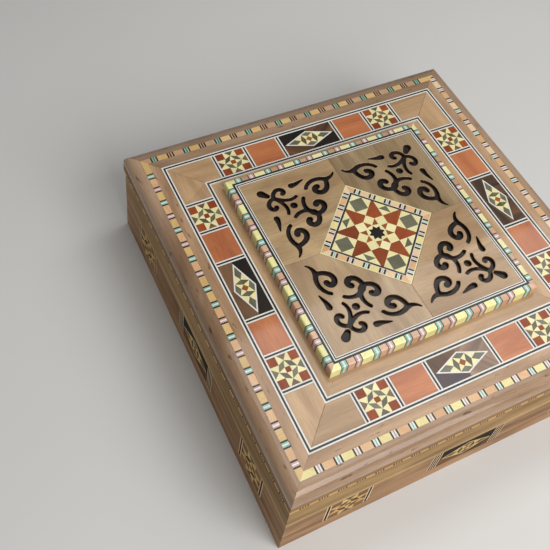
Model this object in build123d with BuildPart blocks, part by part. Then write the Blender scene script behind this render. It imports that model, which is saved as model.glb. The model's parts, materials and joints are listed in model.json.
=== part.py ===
from build123d import *

import os
from math import sqrt

# A square games box with a hinged lid. The walls, the lid's core and its margins are solid wood; the sides are
# faced with veneer bands and the lid is inlaid, with a raised plateau of pierced scroll panels in its middle.
# +Z is up and +Y is the hinge side. The origin is the middle of the underside. All sizes are in millimetres.

# ------------------------------------------------------------------------------------- driving dimensions
# Outline
lid_side = 300.0
lid_overhang = 1.0
box_height = 71.1
shut_line = 0.3
lid_height = 18.6
plateau_rise = 8.75

# Fits
glue_line = 0.1
pin_fit = 0.05
swing_gap = 0.3

# Carcase
wall_t = 9.0
facing_t = 1.0
bottom_t = 5.0
rebate_w = 4.0
partition_t = 6.0
partition_top = 58.0

# Soft lining
lining_t = 1.5
floor_pad_t = 2.5
lid_pad_t = 2.0
pad_edge_r = 1.0
lining_below_rim = 2.0

# Bands on the sides of the box, from the table up
base_band_h = 13.75
panel_row_h = 27.5
pale_line_h = 4.75

# Panel row on each side, from a corner of the box to the middle; the walnut fields take what is left
corner_field_w = 32.1
side_star_w = 28.75
side_diamond_w = 46.5
bar_w = 3.75
double_bar_w = 7.5

# Lid margin, with the mosaic strip let into its top
margin_w = 23.125
margin_t = 10.0
margin_edge_r = 7.5
mosaic_from_edge = 10.25
mosaic_w = 5.25
inlay_t = 1.5

# Marquetry rows of the lid; the red tiles and the diamond panels share what the corners and stars leave
row_w = 22.6
corner_w = 38.15
star_tile_w = 23.75
diamond_to_red = 1.81
string_w = 3.75
row_shift = {"front": 2.5, "right": -2.0, "back": 1.1, "left": -0.8}

# Walnut band that shows round the plateau, and the plateau
band_w = 9.25
plateau_offset = (-1.8, 1.8)
bead_w = 5.2
bead_r = 2.0
inner_string_w = 3.4
fret_t = 2.5
tile_line_w = 1.1
tile_border_w = 6.0

# Butt hinges
hinge_from_end = 60.0
leaf_length = 30.0
leaf_t = 1.2
leaf_setback = 2.0
knuckle_r = 1.9
pin_r = 0.9
knuckle_gap = 0.3
box_knuckle_l = 9.0

# The pattern of the plateau is drawn for this half width inside the string, and is scaled to fit the real one:
# the half side of the star tile, and the pierced scrolls of one panel above its diagonal, in distances from the
# plateau's middle. Each stroke is its middle line, its width at the start and its width at the end.
drawn_half = 78.9
drawn_tile_half = 28.0
scroll_strokes = {
    "outer_curl": ([(58.6, 58.6), (57.4, 62.3), (54.6, 64.8), (51.2, 65.2), (48.6, 62.6), (50.4, 60.2)], 3.1, 3.8),
    "outer_tail": ([(40.4, 54.9), (47.6, 53.0), (53.4, 55.0), (58.6, 58.6)], 2.5, 3.4),
    "sliver": ([(28.6, 67.5), (33.3, 66.2), (37.2, 65.2), (40.6, 65.0)], 0.8, 4.8),
    "inner_tail": ([(36.0, 51.8), (39.2, 45.8), (39.2, 40.2), (36.6, 35.8)], 2.7, 3.8),
    "inner_curl": (
        [(37.4, 35.8), (33.3, 33.4), (29.2, 34.0), (25.8, 36.6), (24.8, 40.4), (27.4, 43.2), (30.6, 41.6)],
        3.2,
        5.0,
    ),
    "leaf_stem": ([(31.6, 57.2), (25.3, 62.9), (18.8, 63.7), (12.6, 61.4)], 2.8, 3.9),
    "leaf": ([(2.6, 65.6), (5.6, 62.6), (9.0, 61.3), (12.6, 61.4)], 0.8, 4.4),
    "leaf_curl": ([(12.2, 60.6), (13.8, 54.8), (17.4, 51.0), (21.8, 50.6), (24.8, 53.6), (21.6, 57.0)], 3.6, 4.8),
}
facet_turn = 12.0  # degrees that a stroke's middle line turns from one facet to the next
cap_turn = 30.0  # the same round a stroke's end
diagonal_dot = (47.0, 2.9)  # distance of its middle along both sides, and its radius
corner_drop = [(62.4, 2.1), (66.2, 3.2)]  # the same for the small and the large end of a drop
# The scrolls sit a little to one side in three of the panels, along the panel's own two sides
scroll_shift = {
    "back_right": (1.5, -0.8),
    "back_left": (0.0, 0.0),
    "front_left": (-0.2, 2.5),
    "front_right": (2.9, 2.6),
}

# --------------------------------------------------------------------------------------- derived levels
rim_z = box_height
lid_z = rim_z + shut_line
lid_top = lid_z + lid_height
margin_z = lid_top - margin_t
inlay_z = lid_top - inlay_t
plateau_top = lid_top + plateau_rise
fret_z = plateau_top - fret_t
panel_z = base_band_h
pale_z = panel_z + panel_row_h
upper_z = pale_z + pale_line_h

lid_half = lid_side / 2
body_half = lid_half - lid_overhang
core_half = body_half - facing_t
inner_half = core_half - wall_t
lid_core_half = lid_half - facing_t
lining_half = inner_half - lining_t
bottom_half = inner_half + rebate_w

mosaic_outer = lid_half - mosaic_from_edge
mosaic_inner = mosaic_outer - mosaic_w
margin_inner = lid_half - margin_w
row_outer = margin_inner - string_w
row_inner = row_outer - row_w
row_middle = (row_outer + row_inner) / 2
band_outer = row_inner - string_w

# Along a row, from its middle: the divider strings' middle lines
corner_start = row_outer - corner_w
star_start = corner_start - string_w - star_tile_w
shared_half = star_start - 2 * string_w
red_w = shared_half / (1 + diamond_to_red / 2)
diamond_half = shared_half - red_w
divider_xs = [
    diamond_half + string_w / 2,
    diamond_half + string_w + red_w + string_w / 2,
    corner_start - string_w / 2,
]

# Along the panel row of a side, from its middle
double_bar_start = side_diamond_w / 2
double_bar_end = double_bar_start + double_bar_w
outer_bar_end = body_half - corner_field_w
outer_bar_start = outer_bar_end - bar_w
inner_bar_end = outer_bar_start - side_star_w
inner_bar_start = inner_bar_end - bar_w

plateau_half = band_outer - band_w
board_half = plateau_half - bead_w
fret_half = board_half - inner_string_w
band_inner = board_half + max(abs(shift) for shift in plateau_offset) + glue_line
pattern_scale = fret_half / drawn_half
tile_half = drawn_tile_half * pattern_scale
line_half = tile_half + tile_line_w
border_half = line_half + tile_border_w
diamond_reach = border_half * sqrt(2)

axis_y = lid_half + swing_gap + knuckle_r
axis_z = rim_z + shut_line / 2
leaf_front = inner_half + leaf_setback
bore_r = pin_r + pin_fit

TURNS = {"front": 0, "right": 90, "back": 180, "left": 270}
hinge_x = lid_half - hinge_from_end
HINGES = {"left": -hinge_x, "right": hinge_x}
tile_turn = 45.0  # the star tile is set cornerwise

os.makedirs("parts", exist_ok=True)


# --------------------------------------------------------------------------------------------- helpers
def keep(builder, label):
    """Label a finished sub-part and write it out."""
    builder.part.label = label
    export_step(builder.part, f"parts/{label}.step")


def side_plane(turn, height):
    """Level plane turned about Z, so that its -Y edge lies along one side of the box."""
    return Plane.XY.offset(height).rotated((0, 0, turn))


def plateau_plane(height, turn=0):
    """Level plane whose origin is the middle of the plateau."""
    return Plane((plateau_offset[0], plateau_offset[1], height)).rotated((0, 0, turn))


def mitred(inner, outer):
    """Corners of a strip along the -Y side of a square frame, with its ends mitred."""
    gap = glue_line / sqrt(2)
    return [(gap - outer, -outer), (outer - gap, -outer), (inner - gap, -inner), (gap - inner, -inner)]


def square_frame(inner, outer, plane_of, height):
    """Four mitred strips round a square; plane_of gives the plane for a turn."""
    with BuildPart() as frame:
        for turn in TURNS.values():
            with BuildSketch(plane_of(turn)):
                with BuildLine():
                    Polyline(*mitred(inner, outer), close=True)
                make_face()
            extrude(amount=height)
    return frame


def stroke(route, start_w, end_w):
    """Face of a stroke that tapers evenly along a curve through the route.

    It starts square, and ends round where it has grown wider.
    """
    with BuildLine() as middle:
        Spline(*route)
    line = middle.line
    legs = [Vector(*after) - Vector(*before) for before, after in zip(route, route[1:])]
    turned = sum(leg.get_angle(following) for leg, following in zip(legs, legs[1:]))
    steps = max(2 * len(legs), round(turned / facet_turn))
    left, right = [], []
    for step in range(steps + 1):
        place = step / steps
        half_w = (start_w + (end_w - start_w) * place) / 2
        across = (line % place).rotate(Axis.Z, 90) * half_w
        left.append(line @ place + across)
        right.append(line @ place - across)
    cap = []
    if end_w > start_w:
        radius = left[-1] - line @ 1
        cap = [line @ 1 + radius.rotate(Axis.Z, -cap_turn * turn) for turn in range(1, round(180 / cap_turn))]
    with BuildSketch() as face:
        with BuildLine():
            Polyline(*left, *cap, *reversed(right), close=True)
        make_face()
    return face.sketch


def drop(ends):
    """Face of a straight drop along the diagonal, between two round ends."""
    with BuildSketch() as face:
        for distance, radius in ends:
            with Locations((distance, distance)):
                Circle(radius)
        make_hull()
    return face.sketch


def hinge_mortise(centre_x, low_z, back_y):
    """Pocket for one hinge leaf in a wall's rim, open at the back."""
    depth = back_y - leaf_front + glue_line
    with BuildPart() as pocket:
        with Locations((centre_x, leaf_front - glue_line, low_z)):
            Box(leaf_length + 2 * glue_line, depth, leaf_t, align=(Align.CENTER, Align.MIN, Align.MIN))
    return pocket.part


def hinge_leaf(centre_x, plate_z, back_y, spans):
    """One leaf: its plate, and tongues and knuckles over the given spans along the pin."""
    with BuildPart() as leaf:
        with BuildSketch(Plane.XY.offset(plate_z)):
            with Locations((centre_x, (leaf_front + back_y) / 2)):
                Rectangle(leaf_length, back_y - leaf_front)
            for start, end in spans:
                with Locations((centre_x + (start + end) / 2, (back_y + axis_y) / 2)):
                    Rectangle(end - start, axis_y - back_y)
        extrude(amount=leaf_t)
        for start, end in spans:
            with BuildSketch(Plane.YZ.offset(centre_x + start)):
                with Locations((axis_y, axis_z)):
                    Circle(knuckle_r)
            extrude(amount=end - start)
        with BuildSketch(Plane.YZ.offset(centre_x - leaf_length / 2)):
            with Locations((axis_y, axis_z)):
                Circle(bore_r)
        extrude(amount=leaf_length, mode=Mode.SUBTRACT)
    return leaf


# ------------------------------------------------------------------------------------------ box: carcase
with BuildPart() as bottom_panel:
    with BuildSketch():
        Rectangle(2 * (bottom_half - glue_line), 2 * (bottom_half - glue_line))
    extrude(amount=bottom_t)
keep(bottom_panel, "bottom_panel")

for side, turn in TURNS.items():
    with BuildPart() as wall:
        with BuildSketch(side_plane(turn, 0)):
            with BuildLine():
                Polyline(*mitred(inner_half, core_half), close=True)
            make_face()
        extrude(amount=rim_z)
        with BuildSketch():
            Rectangle(2 * bottom_half, 2 * bottom_half)
        extrude(amount=bottom_t + glue_line, mode=Mode.SUBTRACT)
        if side == "back":
            for centre in HINGES.values():
                add(hinge_mortise(centre, rim_z - leaf_t, core_half), mode=Mode.SUBTRACT)
    keep(wall, f"{side}_wall")

with BuildPart() as partition:
    with BuildSketch(Plane.XY.offset(bottom_t)):
        Rectangle(partition_t, 2 * (lining_half - glue_line))
    extrude(amount=partition_top - bottom_t)
    fillet(partition.edges().group_by(Axis.Z)[-1].filter_by(Axis.Y), partition_t / 3)
keep(partition, "partition")

# ------------------------------------------------------------------------------------------- box: lining
pad_width = lining_half - partition_t / 2 - 2 * glue_line
for side, sign in {"left": -1, "right": 1}.items():
    with BuildPart() as floor_pad:
        with BuildSketch(Plane.XY.offset(bottom_t)):
            with Locations((sign * (partition_t / 2 + lining_half) / 2, 0)):
                Rectangle(pad_width, 2 * (lining_half - glue_line))
        extrude(amount=floor_pad_t)
        fillet(floor_pad.edges().group_by(Axis.Z)[-1], pad_edge_r)
    keep(floor_pad, f"{side}_floor_pad")

wall_lining = square_frame(
    lining_half, inner_half, lambda turn: side_plane(turn, bottom_t), rim_z - lining_below_rim - bottom_t
)
keep(wall_lining, "wall_lining")

# ------------------------------------------------------------------------------- box: bands on the sides
base_band = square_frame(core_half, body_half, lambda turn: side_plane(turn, 0), panel_z - glue_line)
keep(base_band, "base_band")

pale_line = square_frame(core_half, body_half, lambda turn: side_plane(turn, pale_z), pale_line_h - glue_line)
keep(pale_line, "pale_line")

upper_band = square_frame(core_half, body_half, lambda turn: side_plane(turn, upper_z), rim_z - upper_z)
with upper_band:
    for centre in HINGES.values():
        add(hinge_mortise(centre, rim_z - leaf_t, body_half), mode=Mode.SUBTRACT)
keep(upper_band, "upper_band")


def facing_pieces(spans):
    """Veneer pieces over the given spans of the panel row, on every side of the box."""
    with BuildPart() as pieces:
        for turn in TURNS.values():
            with BuildSketch(side_plane(turn, panel_z)):
                for start, end in spans:
                    with Locations(((start + end) / 2, -(core_half + body_half) / 2)):
                        Rectangle(end - start - glue_line, facing_t)
            extrude(amount=panel_row_h - glue_line)
    return pieces


def both_ways(start, end):
    """A span of the panel row and its mirror image."""
    return [(start, end), (-end, -start)]


side_diamond_panels = facing_pieces([(-double_bar_start, double_bar_start)])
keep(side_diamond_panels, "side_diamond_panels")

side_star_tiles = facing_pieces(both_ways(inner_bar_end, outer_bar_start))
keep(side_star_tiles, "side_star_tiles")

side_bars = facing_pieces(
    both_ways(double_bar_start, double_bar_end)
    + both_ways(inner_bar_start, inner_bar_end)
    + both_ways(outer_bar_start, outer_bar_end)
)
keep(side_bars, "side_bars")

side_fields = facing_pieces(both_ways(double_bar_end, inner_bar_start))
keep(side_fields, "side_fields")

with BuildPart() as corner_fields:
    for turn in TURNS.values():
        with BuildSketch(side_plane(turn, panel_z)):
            with BuildLine():
                Polyline(
                    (outer_bar_end + glue_line, -body_half),
                    (body_half - glue_line, -body_half),
                    (core_half - glue_line, -core_half),
                    (outer_bar_end + glue_line, -core_half),
                    close=True,
                )
            make_face()
            mirror(about=Plane.YZ)
        extrude(amount=panel_row_h - glue_line)
keep(corner_fields, "corner_fields")

# --------------------------------------------------------------------------------------- lid: rim and core
for side, turn in TURNS.items():
    with BuildPart() as lid_wall:
        with BuildSketch(side_plane(turn, lid_z)):
            with BuildLine():
                Polyline(*mitred(inner_half, lid_core_half), close=True)
            make_face()
        extrude(amount=margin_z - lid_z)
        if side == "back":
            for centre in HINGES.values():
                add(hinge_mortise(centre, lid_z, lid_core_half), mode=Mode.SUBTRACT)
    keep(lid_wall, f"lid_{side}_wall")

edge_mosaic = square_frame(lid_core_half, lid_half, lambda turn: side_plane(turn, lid_z), margin_z - lid_z)
with edge_mosaic:
    for centre in HINGES.values():
        add(hinge_mortise(centre, lid_z, lid_half), mode=Mode.SUBTRACT)
keep(edge_mosaic, "edge_mosaic")

# One margin moulding: mitred ends, rounded outer edge, groove for the mosaic strip
with BuildPart() as margin:
    with BuildSketch(side_plane(0, margin_z)):
        with BuildLine():
            Polyline(*mitred(margin_inner, lid_half), close=True)
        make_face()
    extrude(amount=margin_t)
    fillet(margin.edges().group_by(Axis.Z)[-1].sort_by(Axis.Y)[0], margin_edge_r)
    with BuildSketch(Plane.XY.offset(inlay_z)):
        with Locations((0, -(mosaic_inner + mosaic_outer) / 2)):
            Rectangle(lid_side, mosaic_w)
    extrude(amount=2 * inlay_t, mode=Mode.SUBTRACT)

for side, turn in TURNS.items():
    with BuildPart() as lid_margin:
        add(margin.part, rotation=(0, 0, turn))
    keep(lid_margin, f"lid_{side}_margin")

top_mosaic = square_frame(
    mosaic_inner + glue_line, mosaic_outer - glue_line, lambda turn: side_plane(turn, inlay_z), inlay_t
)
keep(top_mosaic, "top_mosaic")

with BuildPart() as lid_board:
    with BuildSketch(Plane.XY.offset(margin_z)):
        Rectangle(2 * (margin_inner - glue_line), 2 * (margin_inner - glue_line))
    extrude(amount=inlay_z - margin_z)
keep(lid_board, "lid_board")

with BuildPart() as lid_pad:
    with BuildSketch(Plane.XY.offset(margin_z - lid_pad_t)):
        Rectangle(2 * (inner_half - glue_line), 2 * (inner_half - glue_line))
    extrude(amount=lid_pad_t)
    fillet(lid_pad.edges().group_by(Axis.Z)[0], pad_edge_r)
keep(lid_pad, "lid_pad")

# ---------------------------------------------------------------------------------- lid: marquetry rows
outer_string = square_frame(
    row_outer, margin_inner - glue_line, lambda turn: side_plane(turn, inlay_z), inlay_t
)
keep(outer_string, "outer_string")

middle_string = square_frame(band_outer, row_inner, lambda turn: side_plane(turn, inlay_z), inlay_t)
keep(middle_string, "middle_string")


def row_pieces(spans):
    """Inlaid pieces over the given spans of the marquetry rows, on every side of the lid."""
    with BuildPart() as pieces:
        for row_side, row_turn in TURNS.items():
            with BuildSketch(side_plane(row_turn, inlay_z)):
                for start, end in spans:
                    with Locations((row_shift[row_side] + (start + end) / 2, -row_middle)):
                        Rectangle(end - start - glue_line, row_w - 2 * glue_line)
            extrude(amount=inlay_t)
    return pieces


divider_spans = []
for divider in divider_xs:
    divider_spans += both_ways(divider - string_w / 2, divider + string_w / 2)

divider_strings = row_pieces(divider_spans)
keep(divider_strings, "divider_strings")

diamond_panels = row_pieces([(-diamond_half, diamond_half)])
keep(diamond_panels, "diamond_panels")

red_tiles = row_pieces(both_ways(diamond_half + string_w, star_start - string_w))
keep(red_tiles, "red_tiles")

star_tiles = row_pieces(both_ways(star_start, star_start + star_tile_w))
keep(star_tiles, "star_tiles")

with BuildPart() as corner_panels:
    for side, turn in TURNS.items():
        for sign in (-1, 1):
            near = sign * (corner_start + glue_line) + row_shift[side]
            inner_end = sign * (row_inner - glue_line)
            outer_end = sign * (row_outer - 2 * glue_line)
            with BuildSketch(side_plane(turn, inlay_z)):
                with BuildLine():
                    Polyline(
                        (near, -row_inner - glue_line),
                        (inner_end, -row_inner - glue_line),
                        (outer_end, -row_outer + glue_line),
                        (near, -row_outer + glue_line),
                        close=True,
                    )
                make_face()
            extrude(amount=inlay_t)
keep(corner_panels, "corner_panels")

inner_band = square_frame(band_inner, band_outer - glue_line, lambda turn: side_plane(turn, inlay_z), inlay_t)
keep(inner_band, "inner_band")

# -------------------------------------------------------------------------------------- lid: the plateau
with BuildPart() as plateau_board:
    with BuildSketch(plateau_plane(inlay_z)):
        Rectangle(2 * (board_half - glue_line), 2 * (board_half - glue_line))
    extrude(amount=fret_z - inlay_z)
keep(plateau_board, "plateau_board")

with BuildPart() as bead:
    with BuildSketch(Plane.XY.offset(lid_top)):
        with BuildLine():
            Polyline(*mitred(board_half, plateau_half), close=True)
        make_face()
    extrude(amount=plateau_rise)
    fillet(bead.edges().group_by(Axis.Z)[-1].sort_by(Axis.Y)[0], bead_r)

with BuildPart() as bead_mouldings:
    for turn in TURNS.values():
        with Locations(plateau_offset):
            add(bead.part, rotation=(0, 0, turn))
keep(bead_mouldings, "bead_mouldings")

inner_string = square_frame(
    fret_half, board_half - glue_line, lambda turn: plateau_plane(fret_z, turn), fret_t
)
keep(inner_string, "inner_string")

# Scrolls of one pierced panel, the same on both sides of its diagonal
with BuildSketch() as scrolls:
    for route, start_w, end_w in scroll_strokes.values():
        add(stroke(route, start_w, end_w))
    with Locations((diagonal_dot[0], diagonal_dot[0])):
        Circle(diagonal_dot[1])
    add(drop(corner_drop))
    mirror(about=Plane((0, 0, 0), z_dir=(1, -1, 0)))
    scale(by=pattern_scale)

# Each pierced panel is a square with the corner cut off for the star tile, and the scrolls cut through
for turn, (corner, shift) in zip(TURNS.values(), scroll_shift.items()):
    with BuildPart() as fret:
        with BuildSketch():
            with BuildLine():
                Polyline(
                    (diamond_reach, glue_line / 2),
                    (fret_half - glue_line, glue_line / 2),
                    (fret_half - glue_line, fret_half - glue_line),
                    (glue_line / 2, fret_half - glue_line),
                    (glue_line / 2, diamond_reach),
                    close=True,
                )
            make_face()
        extrude(amount=fret_t)
        with BuildSketch():
            with Locations(shift):
                add(scrolls.sketch)
        extrude(amount=fret_t, mode=Mode.SUBTRACT)
    with BuildPart() as pierced_panel:
        with Locations((plateau_offset[0], plateau_offset[1], fret_z)):
            add(fret.part, rotation=(0, 0, turn))
    keep(pierced_panel, f"pierced_panel_{corner}")

# Star tile, set cornerwise inside a black line and a mosaic border
with BuildPart() as centre_tile:
    with BuildSketch(plateau_plane(fret_z, tile_turn)):
        Rectangle(2 * (tile_half - glue_line), 2 * (tile_half - glue_line))
    extrude(amount=fret_t)
keep(centre_tile, "centre_tile")

centre_line = square_frame(tile_half, line_half, lambda turn: plateau_plane(fret_z, tile_turn + turn), fret_t)
keep(centre_line, "centre_line")

centre_border = square_frame(
    line_half + glue_line, border_half - glue_line, lambda turn: plateau_plane(fret_z, tile_turn + turn), fret_t
)
keep(centre_border, "centre_border")

# ------------------------------------------------------------------------------------------ butt hinges
half_leaf = leaf_length / 2
box_spans = [(-half_leaf, box_knuckle_l - half_leaf), (half_leaf - box_knuckle_l, half_leaf)]
lid_spans = [(box_knuckle_l + knuckle_gap - half_leaf, half_leaf - box_knuckle_l - knuckle_gap)]

for side, centre in HINGES.items():
    box_leaf = hinge_leaf(centre, rim_z - leaf_t, body_half, box_spans)
    keep(box_leaf, f"{side}_hinge_box_leaf")
    lid_leaf = hinge_leaf(centre, lid_z, lid_half, lid_spans)
    keep(lid_leaf, f"{side}_hinge_lid_leaf")

with BuildPart() as hinge_pins:
    for centre in HINGES.values():
        with BuildSketch(Plane.YZ.offset(centre - half_leaf)):
            with Locations((axis_y, axis_z)):
                Circle(pin_r)
        extrude(amount=leaf_length)
keep(hinge_pins, "hinge_pins")
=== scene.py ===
"""Dresses a square chess box with a hinged lid.

The frame gives every solid of the box. This script keeps the plain wooden ones and gives them their woods,
lays the star marquetry, the mosaic strips and the string lines slip by slip, cuts the scroll panels with
rounded rims, upholsters the inside in velvet, puts the screws in the hinges and sets the box on a pale
studio floor.

Sizes are in metres. The origin is the middle of the underside, +Z is up and +Y is the hinge side.
"""

import json
import logging
import math
from collections.abc import Callable, Iterable, Sequence
from dataclasses import dataclass, replace
from enum import Enum

import bmesh
import bpy
from mathutils import Euler, Matrix, Vector

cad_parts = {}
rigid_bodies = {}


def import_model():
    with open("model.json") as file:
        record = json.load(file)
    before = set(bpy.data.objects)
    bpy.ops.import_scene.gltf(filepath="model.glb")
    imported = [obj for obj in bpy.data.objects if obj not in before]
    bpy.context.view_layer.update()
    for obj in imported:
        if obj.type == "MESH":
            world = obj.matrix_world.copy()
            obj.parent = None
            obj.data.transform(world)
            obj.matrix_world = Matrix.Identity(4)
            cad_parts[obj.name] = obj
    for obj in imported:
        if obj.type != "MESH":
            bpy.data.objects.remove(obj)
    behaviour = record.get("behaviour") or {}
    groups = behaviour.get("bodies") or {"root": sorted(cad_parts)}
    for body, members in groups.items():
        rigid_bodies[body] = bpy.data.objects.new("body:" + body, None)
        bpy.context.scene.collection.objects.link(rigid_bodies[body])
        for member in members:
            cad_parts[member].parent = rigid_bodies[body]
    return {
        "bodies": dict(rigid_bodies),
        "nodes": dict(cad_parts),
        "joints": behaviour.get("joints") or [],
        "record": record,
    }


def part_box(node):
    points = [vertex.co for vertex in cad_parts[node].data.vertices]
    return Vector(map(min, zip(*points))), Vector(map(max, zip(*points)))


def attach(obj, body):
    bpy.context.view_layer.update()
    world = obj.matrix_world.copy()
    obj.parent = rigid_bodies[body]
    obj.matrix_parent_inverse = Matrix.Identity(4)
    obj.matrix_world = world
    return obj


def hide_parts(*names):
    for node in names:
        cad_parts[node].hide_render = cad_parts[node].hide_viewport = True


LOG = logging.getLogger("chess_box")
MM = 0.001
QUARTER = math.pi / 2
SIDES = ("front", "right", "back", "left")

Socket = bpy.types.NodeSocket
Rgb = tuple[int, int, int]
Rgba = tuple[float, float, float, float]
Point = tuple[float, float]
Corners = Sequence[Point]
Bounds = tuple[Vector, Vector]

# Distances within which points are taken as one: of a node's mesh, of a new mesh and of a cut
NODE_WELD = 0.002 * MM
CURVE_WELD = 0.001 * MM
CUT_WELD = 0.0001 * MM


# ---------------------------------------------------------------------------------------------- finishes
def paint(colour: Rgb) -> Rgba:
    """Turns a colour as it is seen on screen into the linear one that a shader takes.

    Args:
        colour: Red, green and blue, each from 0 to 255.

    Returns:
        Linear red, green and blue, and full opacity.
    """
    shares = [part / 255 for part in colour]
    linear = [share / 12.92 if share <= 0.04045 else ((share + 0.055) / 1.055) ** 2.4 for share in shares]
    return (linear[0], linear[1], linear[2], 1.0)


@dataclass(frozen=True)
class Pattern:
    """A noise pattern.

    Attributes:
        along: Features to the metre along the fibres.
        across: Features to the metre across them.
        detail: Octaves of finer noise.
        roughness: How strong the finer noise is.
        distortion: How much the noise is warped.
    """

    along: float
    across: float
    detail: float
    roughness: float = 0.5
    distortion: float = 0.0


@dataclass(frozen=True)
class Tint:
    """How a pattern darkens a colour.

    Attributes:
        shade: Linear red, green and blue that the colour is multiplied by where the pattern is low.
        full: Value of the pattern up to which the tint is full.
        clear: Value of the pattern from which there is none.
    """

    shade: tuple[float, float, float]
    full: float
    clear: float


# Woods: the broad figure, the fine streaks, the pores and the small knots
FIGURE = Pattern(7.0, 45.0, 4.0, 0.55, 1.1)
FIGURE_STOPS = (0.3, 0.5, 0.68)
STREAKS = Pattern(30.0, 900.0, 3.0, 0.6)
STREAK_TINT = Tint((0.55, 0.5, 0.45), 0.35, 0.6)
STREAK_DEPTH = 0.03 * MM
PORES = Pattern(130.0, 2600.0, 2.0)
PORE_TINT = Tint((0.35, 0.28, 0.22), 0.3, 0.42)
KNOTS = Pattern(85.0, 300.0, 2.0)
KNOT_TINT = Tint((0.3, 0.24, 0.2), 0.27, 0.36)
# Colour that wood beyond a given distance from the box's middle is multiplied by, greyer and darker, and how
# the lacquer shines
OUTER_GREYING = (0.8, 0.82, 0.88, 1.0)
BARE_GLOSS = 0.1
LACQUER_GLOSS = 0.3
LACQUER_ROUGHNESS = 0.06
OILED_ROUGHNESS = 0.6
# Radians that the fibres of a slip are turned at most, and how far the figure is shifted from side to side
SLIP_TURN = 40.0
SIDE_SHIFT = (0.31, 0.17, 0.0)

# Velvet, brass and floor
NAP = Pattern(38.0, 38.0, 3.0, distortion=0.8)
NAP_STOPS = (0.38, 0.62)
PILE = Pattern(2600.0, 2600.0, 2.0, 0.6)
PILE_TINT = Tint((0.6, 0.6, 0.6), 0.35, 0.65)
PILE_SHARE = 0.7
PILE_DEPTH = 0.15 * MM
ROLLED_LINES = Pattern(60.0, 5200.0, 2.0, 0.6)
ROLLED_DEPTH = 0.01 * MM
PATINA = Pattern(240.0, 240.0, 3.0, 0.55)
PATINA_STOPS = (0.35, 0.62)
CLOUDS = Pattern(6.0, 6.0, 2.0)
CLOUD_TINT = Tint((0.97, 0.97, 0.97), 0.3, 0.7)

# A Mix node's inputs for the share and the two values, and its output, for each kind of value
MIX_SOCKETS = {"RGBA": ((0, 6, 7), 2), "VECTOR": ((0, 4, 5), 1)}


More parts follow.
